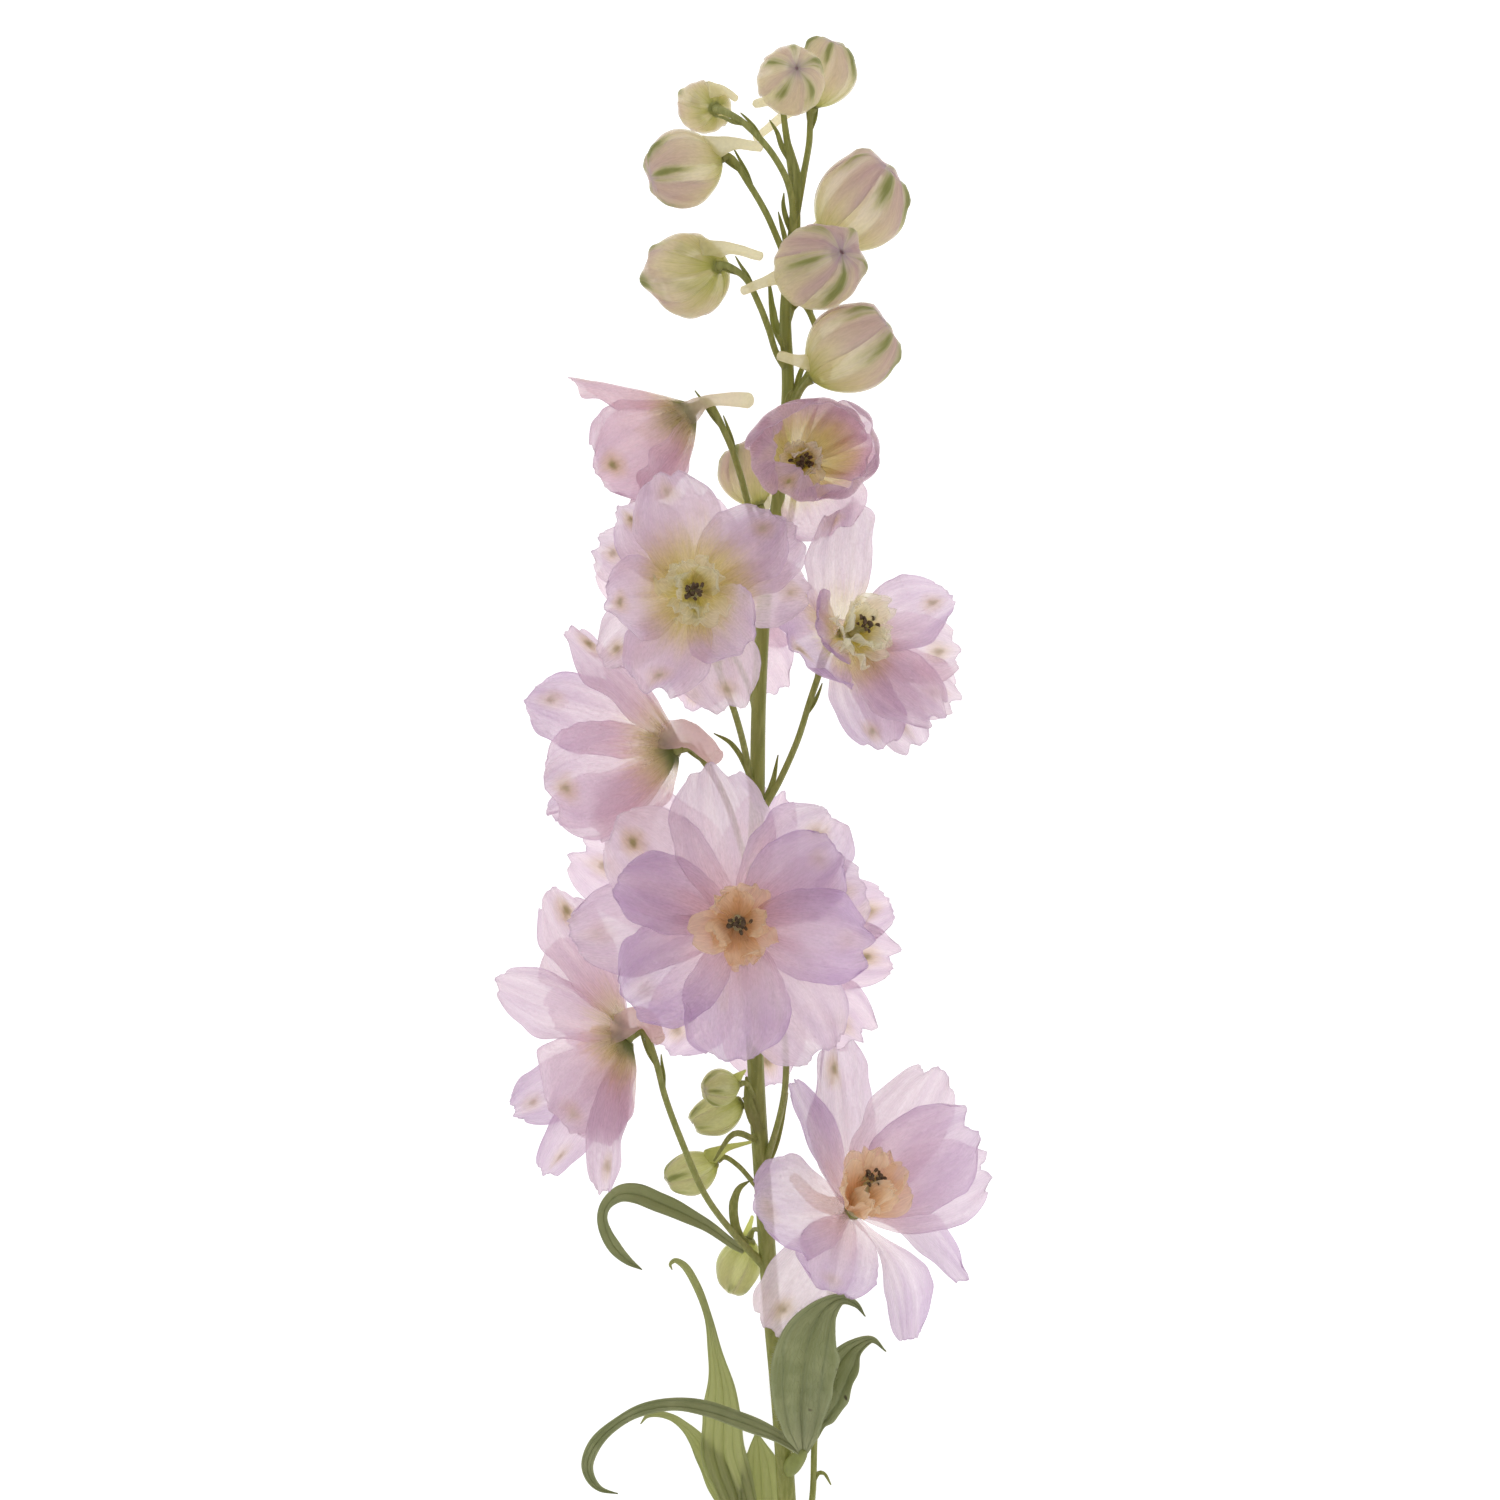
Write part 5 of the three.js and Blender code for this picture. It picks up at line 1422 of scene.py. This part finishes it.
def stamens(name, flower, index, pattern):
    """A tight tuft of stamens in front of the flower's heart."""
    rng = np.random.default_rng(SEEDS["stamens"] + index)
    heart, facing = heart_of(flower)
    aside = unit(np.cross(facing, ALMOST_UP))
    other = np.cross(facing, aside)
    lean = np.array(flower["bee"].get("lean", NO_LEAN), float)
    seats = []
    for k in range(STAMENS):
        angle, far = k * STAMEN_TURN, 0.34 * math.sqrt(k + 0.4)
        sideways = aside * far * 1.4 * math.cos(angle) + other * far * 0.7 * math.sin(angle)
        seats.append(heart + lean * 0.9 + facing * rng.uniform(2.2, 3.2) + sideways)
    ground = bpy.data.meshes.new("seats")
    ground.from_pydata(metres(seats).tolist(), [], [])
    body = Body()
    body.take(grown(RING, ground, Stamen=pattern, Facing=facing.tolist(), Seed=index + 1))
    bpy.data.meshes.remove(ground)
    steps = ((0, 2.1, 0.9), (0.6, 2.4, 1.0), (0.9, 2.9, 0.6))
    disc = [(*(heart + lean * s + facing * h), r) for s, h, r in steps]
    body.take(swept([disc], THREAD, 10))
    body.piece(f"{name}_stamens", f"bloom_{name}_stamens", "anther_dark")


# ---- Buds


def bud_radius(u):
    """A bud's girth along it, as a share of its greatest."""
    return np.sin(math.pi * np.clip(u, 0, 1) ** 1.08) ** 0.5


def bud(name, form, index):
    """Five sepals that lie over one another, with knobbed tips round a dimple, and a spur."""
    rng = np.random.default_rng(SEEDS["bud"] + index)
    base, tip = (np.array(p, float) for p in form[:2])
    radius = form[2]
    small = name.startswith("small")
    skin = SMALL_BUD_SKIN if small else BUD_SKIN
    length = np.linalg.norm(tip - base)
    axis = unit(tip - base)
    aside = unit(np.cross(axis, [0.2, 1, 0.1]))
    other = np.cross(axis, aside)
    body = Body()
    ripe = float(np.interp(base[1], *BUD_RIPE))
    rows, columns = SMALL_BUD_GRID if small else BUD_GRID
    lobed, knobbed, pleated = (0.015, 0.05, 0.004) if small else (0.09, 0.12, 0.014)
    shares = 0.5 - 0.5 * np.cos(np.linspace(0.04, 0.93, rows) * math.pi)
    u, v = np.meshgrid(shares, np.linspace(-1, 1, columns), indexing="ij")
    start, twist = rng.uniform(0, TAU), rng.uniform(0.2, 0.5)
    askew = turned(aside, axis, rng.uniform(0, TAU)) * radius * 0.16
    for k in range(BUD_SEPALS):
        slow, wide = waves(rng, 0.5, 1.5), waves(rng, 0.3, 0.8)
        span = BUD_SPAN * (0.94 + 0.06 * np.sin(math.pi * u)) * (1 + 0.03 * slow(u))
        angle = start + (k + rng.uniform(-0.06, 0.06)) / BUD_SEPALS * TAU + twist * u + span * v
        lobe = np.cos(np.minimum(abs(v) * 1.4, 1) * math.pi / 2) - 0.5
        lobe = lobe * (0.01 + lobed * smooth(u, 0.3, 0.95))
        knob = knobbed * np.exp(-(((u - 0.87) / 0.08) ** 2) - (v / 0.34) ** 2) * rng.uniform(0.6, 1.5)
        end = rng.uniform(-0.02, 0.03) * smooth(u, 0.7, 1)
        pleats = pleated * np.cos(TAU * (2.1 * v + 0.15 * slow(u + 3))) * np.sin(math.pi * u)
        lap = 0.045 * v + rng.uniform(-0.008, 0.008) + 0.015 * wide(u + 0.3 * v)
        far = radius * bud_radius(u) * (1 + lap + pleats + lobe) + radius * knob
        far = np.maximum(far * (1 - 0.6 * smooth(u, 0.93, 0.99)) - 0.2, 0.3)
        dimple = 0.05 * smooth(u, 0.93, 0.99)
        dimple = dimple - 0.02 * np.exp(-(((u - 0.93) / 0.04) ** 2) - (v / 0.4) ** 2)
        ring = aside * np.cos(angle)[..., None] + other * np.sin(angle)[..., None]
        middle = base + axis * (length * (u - dimple + end))[..., None] + ring * far[..., None]
        middle = middle + askew * smooth(u, 0.55, 1)[..., None]
        front, back = thickened(middle, BUD_THICKNESS)
        body.sheet(back, front, skin, along=u, across=v, seed=rng.uniform(0, 1), spot=ripe)
    closing = [(0.88, radius * 0.2), (0.9, radius * 0.18), (0.915, radius * 0.08)]
    body.take(swept([rod(base + askew * 0.9, axis * length, closing)], BUD_HEART, 14))
    seat = rod(base, axis, [(-0.12, 1.0), (0.25, 1.5), (0.8, 1.55), (1.3, 1.0)])
    body.take(swept([seat], STEM_SKIN, 14))
    thick = min(1.5, radius * 0.2)
    knee, end = (np.array(p, float) for p in form[3])
    root = base + axis * length * 0.3
    begin = 0.62 * (knee + unit(knee - end) * radius * 0.6) + 0.38 * root
    point = 0.38 if small else 0.64
    run = spline([(*begin, thick * 2.1), (*knee, thick * 0.9), (*end, thick * point)], 9)
    blunt = [(0.3, 0.97), (0.5, 0.62), (0.58, 0.2)]
    blunt = rod(end, unit(end - knee) * thick, [(far, thick * point * wide) for far, wide in blunt])
    skin = SMALL_SPUR_SKIN if small else SPUR_SKIN
    body.take(swept([np.vstack([run, blunt])], skin, 20, 5.0, 0.05, 0.12), along=0.8)
    body.piece(name, name, "bud_green" if small else "bud_cream")


# ---- Stem, stalks and leaves


def strap_grid(
    stations, steps, columns, cup=LEAF_CUP, fold=0.0, wave=0.0, puff=0.0, veins=LEAF_VEINS, rng=None
):
    """The middle points of a narrow blade, its ways sideways, and how far along and across."""
    rows = spline(stations, steps)
    spine = rows[:, :3]
    width = np.maximum(rows[:, 3], LEAST_WIDTH)
    turn = rows[:, 4] if rows.shape[1] > 4 else np.zeros(len(rows))
    tangent = unit(np.gradient(spine, axis=0))
    side = turned(unit(np.cross(UP, tangent)), tangent, turn)
    normal = np.cross(tangent, side)
    along = np.concatenate([[0], np.cumsum(np.linalg.norm(np.diff(spine, axis=0), axis=1))])
    u, v = np.meshgrid(along / along[-1], np.linspace(-1, 1, columns + 1), indexing="ij")
    half = width[:, None] / 2
    rise = cup * 2 * half * v**2 + fold * half * np.abs(v)
    between = np.abs(np.sin(math.pi * veins * v)) ** 1.4 * smooth(u, 0.03, 0.2) * (1 - smooth(u, 0.75, 1))
    rise = rise + puff * half * between
    edge = 0.0
    if rng is not None:
        left, right, ends = (waves(rng, 2, 6) for _ in range(3))
        rise = rise + half * wave * np.where(v < 0, left(u), right(u)) * np.abs(v) ** 2.2
        edge = 0.05 * ends(u + 0.37 * np.sign(v)) * np.abs(v) ** 4
    middle = spine[:, None] + side[:, None] * (half * v * (1 + edge))[..., None]
    return middle + normal[:, None] * rise[..., None], side, u, v


def add_strap(body, stations, steps, columns, thickness, material, pale=0.0, seed=0.0, **shape):
    """A narrow blade with a sunk midrib that stands out below it."""
    middle, side, u, v = strap_grid(stations, steps, columns, **shape)
    taper = thickness * (1 - 0.45 * np.abs(v) ** 4) * (1 - 0.6 * smooth(u, 0.9, 1))
    front, back = thickened(middle, taper)
    midrib = (thickness * np.exp(-((v / 0.09) ** 2)))[..., None]
    front -= unit(front - back) * midrib * 0.3
    back -= unit(front - back) * midrib * 0.9
    back[..., 2] = np.maximum(back[..., 2], LOWEST_RIB)
    marks = {"along": u, "across": v, "seed": seed, "spot": pale}
    marks["tint"] = shape.get("veins", LEAF_VEINS)
    body.sheet(front, back, material, **marks)
    return middle, side


def add_margin_hairs(body, middle, side, sign, first, last, density, length):
    """Hairs that stand on one side of a blade, from its row first to its row last."""
    rim = middle[first:last, -1 if sign > 0 else 0]
    out = side[first:last] * sign
    along = unit(np.gradient(rim, axis=0))
    up = unit(np.cross(along, out))
    points = metres(np.concatenate([rim - up * RIM_HALF, rim + up * RIM_HALF]))
    count = len(rim)
    faces = [(count + k, count + k + 1, k + 1, k) for k in range(count - 1)]
    strip = bpy.data.meshes.new("strip")
    strip.from_pydata(points.tolist(), [], faces)
    hairs = {"Density": density * 1e6, "Length": length / 1000, "Seed": 3}
    body.take(grown(HAIRS, strip, Material=HAIR, **hairs))
    bpy.data.meshes.remove(strip)


def seat_of(name):
    """Where a stalk's tip stops, just short of what it carries, and the way it points there."""
    if name in BLOOMS:
        at, way = heart_of(BLOOMS[name])
        return at - way * (RECEPTACLE_BACK + SEAT_GAP), way
    at, tip = (np.array(p, float) for p in BUDS[name][:2])
    way = unit(tip - at)
    return at - way * SEAT_GAP, way


def stalk_run(name):
    """A stalk from the stem to its seat, thickest at both its ends."""
    at, way = seat_of(name)
    places = [*STALKS[name], at - way * STALK_SEAT, at + way * 0.1]
    small = name.startswith("small")
    radii = np.interp(np.linspace(0, 1, len(places)), [0, 0.15, 0.7, 1], [1.0, 0.7, 0.67, 1.0])
    radii = radii * (0.8 if small else 1.0)
    return spline([(*p, r) for p, r in zip(places, radii)], 6)


def blade(at, way, out, *stations):
    """A small blade's stations, from how far along way and out from at each one is, and its width."""
    return [(*(at + way * far + out * aside), width) for far, aside, width in stations]


def add_bracteoles(body, run, rng):
    """Two small pointed blades on a stalk, below its flower."""
    for share, sign in ((0.62, 1), (0.72, -1)):
        k = int(share * (len(run) - 2)) + 1
        at = run[k, :3]
        way = unit(run[min(k + 3, len(run) - 1), :3] - at)
        out = turned(unit(np.cross(way, UP)), way, sign * 0.5 + rng.uniform(-0.3, 0.3)) * sign
        length = rng.uniform(6.0, 9.5)
        tip = (length, rng.uniform(1.2, 2.2), 0.18)
        sides = ((-0.5, 0.2, 0.9), (length * 0.3, 1.0, 0.85), (length * 0.7, 1.35, 0.5))
        stations = blade(at, way, out, *sides, tip)
        add_strap(body, stations, 4, 4, BRACTEOLE_THICKNESS, STEM_SKIN, cup=0.3)


def add_low_bract(body, run, rng):
    """The slender bract under a stalk, where it leaves the stem."""
    at = run[2, :3]
    way = unit(run[8, :3] - at)
    out = turned(unit(np.cross(way, UP)), way, rng.uniform(-0.6, 0.6)) * rng.choice((-1, 1))
    length = rng.uniform(7, 10.5)
    tip = (length, rng.uniform(1.6, 3.4), 0.18)
    sides = ((0, 0, 1.2), (length * 0.35, 1.3, 1.1), (length * 0.7, 1.9, 0.8))
    add_strap(body, blade(at, way, out, *sides, tip), 5, 4, BRACTEOLE_THICKNESS, STEM_SKIN, cup=0.3)


def cut_foot(body):
    """The clean cut across the stem's foot: a firm ring round soft pale pith."""
    run = np.array(STEM[:2], float)
    way = unit(run[0, :3] - run[1, :3])
    aside = unit(np.cross(way, UP))
    other = np.cross(way, aside)
    rng = np.random.default_rng(SEEDS["foot"])
    angles = np.linspace(0, TAU, 37)
    grid = []
    for r, h in FOOT_PROFILE:
        rough = rng.uniform(-0.025, 0.025, len(angles)) if r < PITH_RADIUS else np.zeros(len(angles))
        rough[-1] = rough[0]
        ring = run[0, :3] + way * (h + rough)[:, None]
        grid.append(ring + (aside * np.cos(angles)[:, None] + other * np.sin(angles)[:, None]) * r)
    front = np.array(grid)
    back = front - way * PITH_THICKNESS
    body.sheet(back[::-1], front[::-1], PITH)


def take_with_hairs(body, mesh):
    """Takes in a swept mesh and the down that grows on it."""
    down = grown(HAIRS, mesh, Material=HAIR, **STEM_HAIRS)
    body.take(mesh)
    body.take(down)


def main_stem():
    """The stem with its cut foot, its hairs, its stalks and its bracts."""
    body = Body()
    rng = np.random.default_rng(SEEDS["stem"])
    take_with_hairs(body, swept([spline(STEM, 8)], STEM_SKIN, 28, 9.0, 0.035))
    cut_foot(body)
    for name in STALKS:
        run = stalk_run(name)
        take_with_hairs(body, swept([run], STEM_SKIN, 12, 5.0, 0.03))
        if not name.startswith("small") and name not in BARE_STALKS:
            add_bracteoles(body, run, rng)
        if name.startswith("bud"):
            add_low_bract(body, run, rng)
    for bract in BRACTS:
        add_strap(body, bract, 6, 6, BRACT_THICKNESS, STEM_SKIN, cup=0.2, rng=rng, wave=0.1)
    body.piece("stem_with_stalks", "main_stem", "stem_green")


def leaf(name, index):
    """A leaf's lobes, with hairs on the margins of the largest, and its stalk."""
    rng = np.random.default_rng(SEEDS["leaf"] + index)
    body = Body()
    pale, veins = LEAF_LOOKS[name]
    for k, lobe in enumerate(LEAVES[name]):
        broad = max(station[3] for station in lobe) > BROAD_LEAF
        fold, wave, puff = (0.12, 0.1, 0.1) if broad else (0.25, 0.05, 0.04)
        shape = {"fold": fold, "wave": wave, "puff": puff, "veins": veins, "rng": rng}
        steps, columns = (12, 34) if broad else (10, 20)
        middle, side = add_strap(
            body, lobe, steps, columns, LEAF_THICKNESS, LEAF_SKIN, pale, rng.uniform(0, 1), **shape
        )
        if name == "leaf_right" and k == 0:
            add_margin_hairs(body, middle, side, 1, 10, 66, 16.0, 1.0)
            add_margin_hairs(body, middle, side, -1, 10, 56, 5.0, 0.6)
    if name in LEAF_STALKS:
        body.take(swept([spline(LEAF_STALKS[name], 6)], NODE_SKIN, 16, 4.0, 0.05))
    body.piece(name, name, "leaf_green")


# ---- Making the spike

pattern = stamen_pattern()
for index, (name, flower) in enumerate(BLOOMS.items()):
    bloom(name, flower, index)
    bee(name, flower, index)
    stamens(name, flower, index, pattern)
bpy.data.objects.remove(pattern)
for index, (name, form) in enumerate(BUDS.items()):
    bud(name, form, index)
main_stem()
for index, name in enumerate(LEAVES):
    leaf(name, index)


def set_camera():
    data = bpy.data.cameras.new("camera")
    data.lens = CAMERA["lens"]
    data.sensor_width = CAMERA["sensor"]
    data.clip_start = 0.01
    camera = bpy.data.objects.new("camera", data)
    camera.location = metres(CAMERA["at"])
    bpy.context.scene.collection.objects.link(camera)
    bpy.context.scene.camera = camera


def set_floor():
    """A white table that shines a little, so that no shadow darkens it."""
    side, level = FLOOR["half"], FLOOR["level"]
    mesh = bpy.data.meshes.new("floor")
    corners = [(x * side, y * side, level) for x, y in ((-1, -1), (1, -1), (1, 1), (-1, 1))]
    mesh.from_pydata(corners, [], [(0, 1, 2, 3)])

    def surface(nodes):
        grey = (FLOOR["grey"],) * 3 + (1,)
        cloth = nodes.add("ShaderNodeBsdfDiffuse", None, {"Color": grey})
        glow = nodes.add("ShaderNodeEmission", None, {"Color": WHITE, "Strength": FLOOR["glow"]})
        return nodes.add("ShaderNodeAddShader", None, {0: cloth, 1: glow})

    table = finish("lit_table", surface)
    table.cycles.emission_sampling = "NONE"
    mesh.materials.append(table)
    floor = bpy.data.objects.new("floor", mesh)
    bpy.context.scene.collection.objects.link(floor)


def set_light():
    world = bpy.data.worlds.new("studio")
    world.use_nodes = True
    sky = world.node_tree.nodes["Background"]
    sky.inputs["Color"].default_value = WHITE
    sky.inputs["Strength"].default_value = SKY_STRENGTH
    world.cycles.sampling_method = "NONE"
    bpy.context.scene.world = world


set_camera()
set_floor()
set_light()
bpy.context.scene.view_settings.view_transform = "Standard"
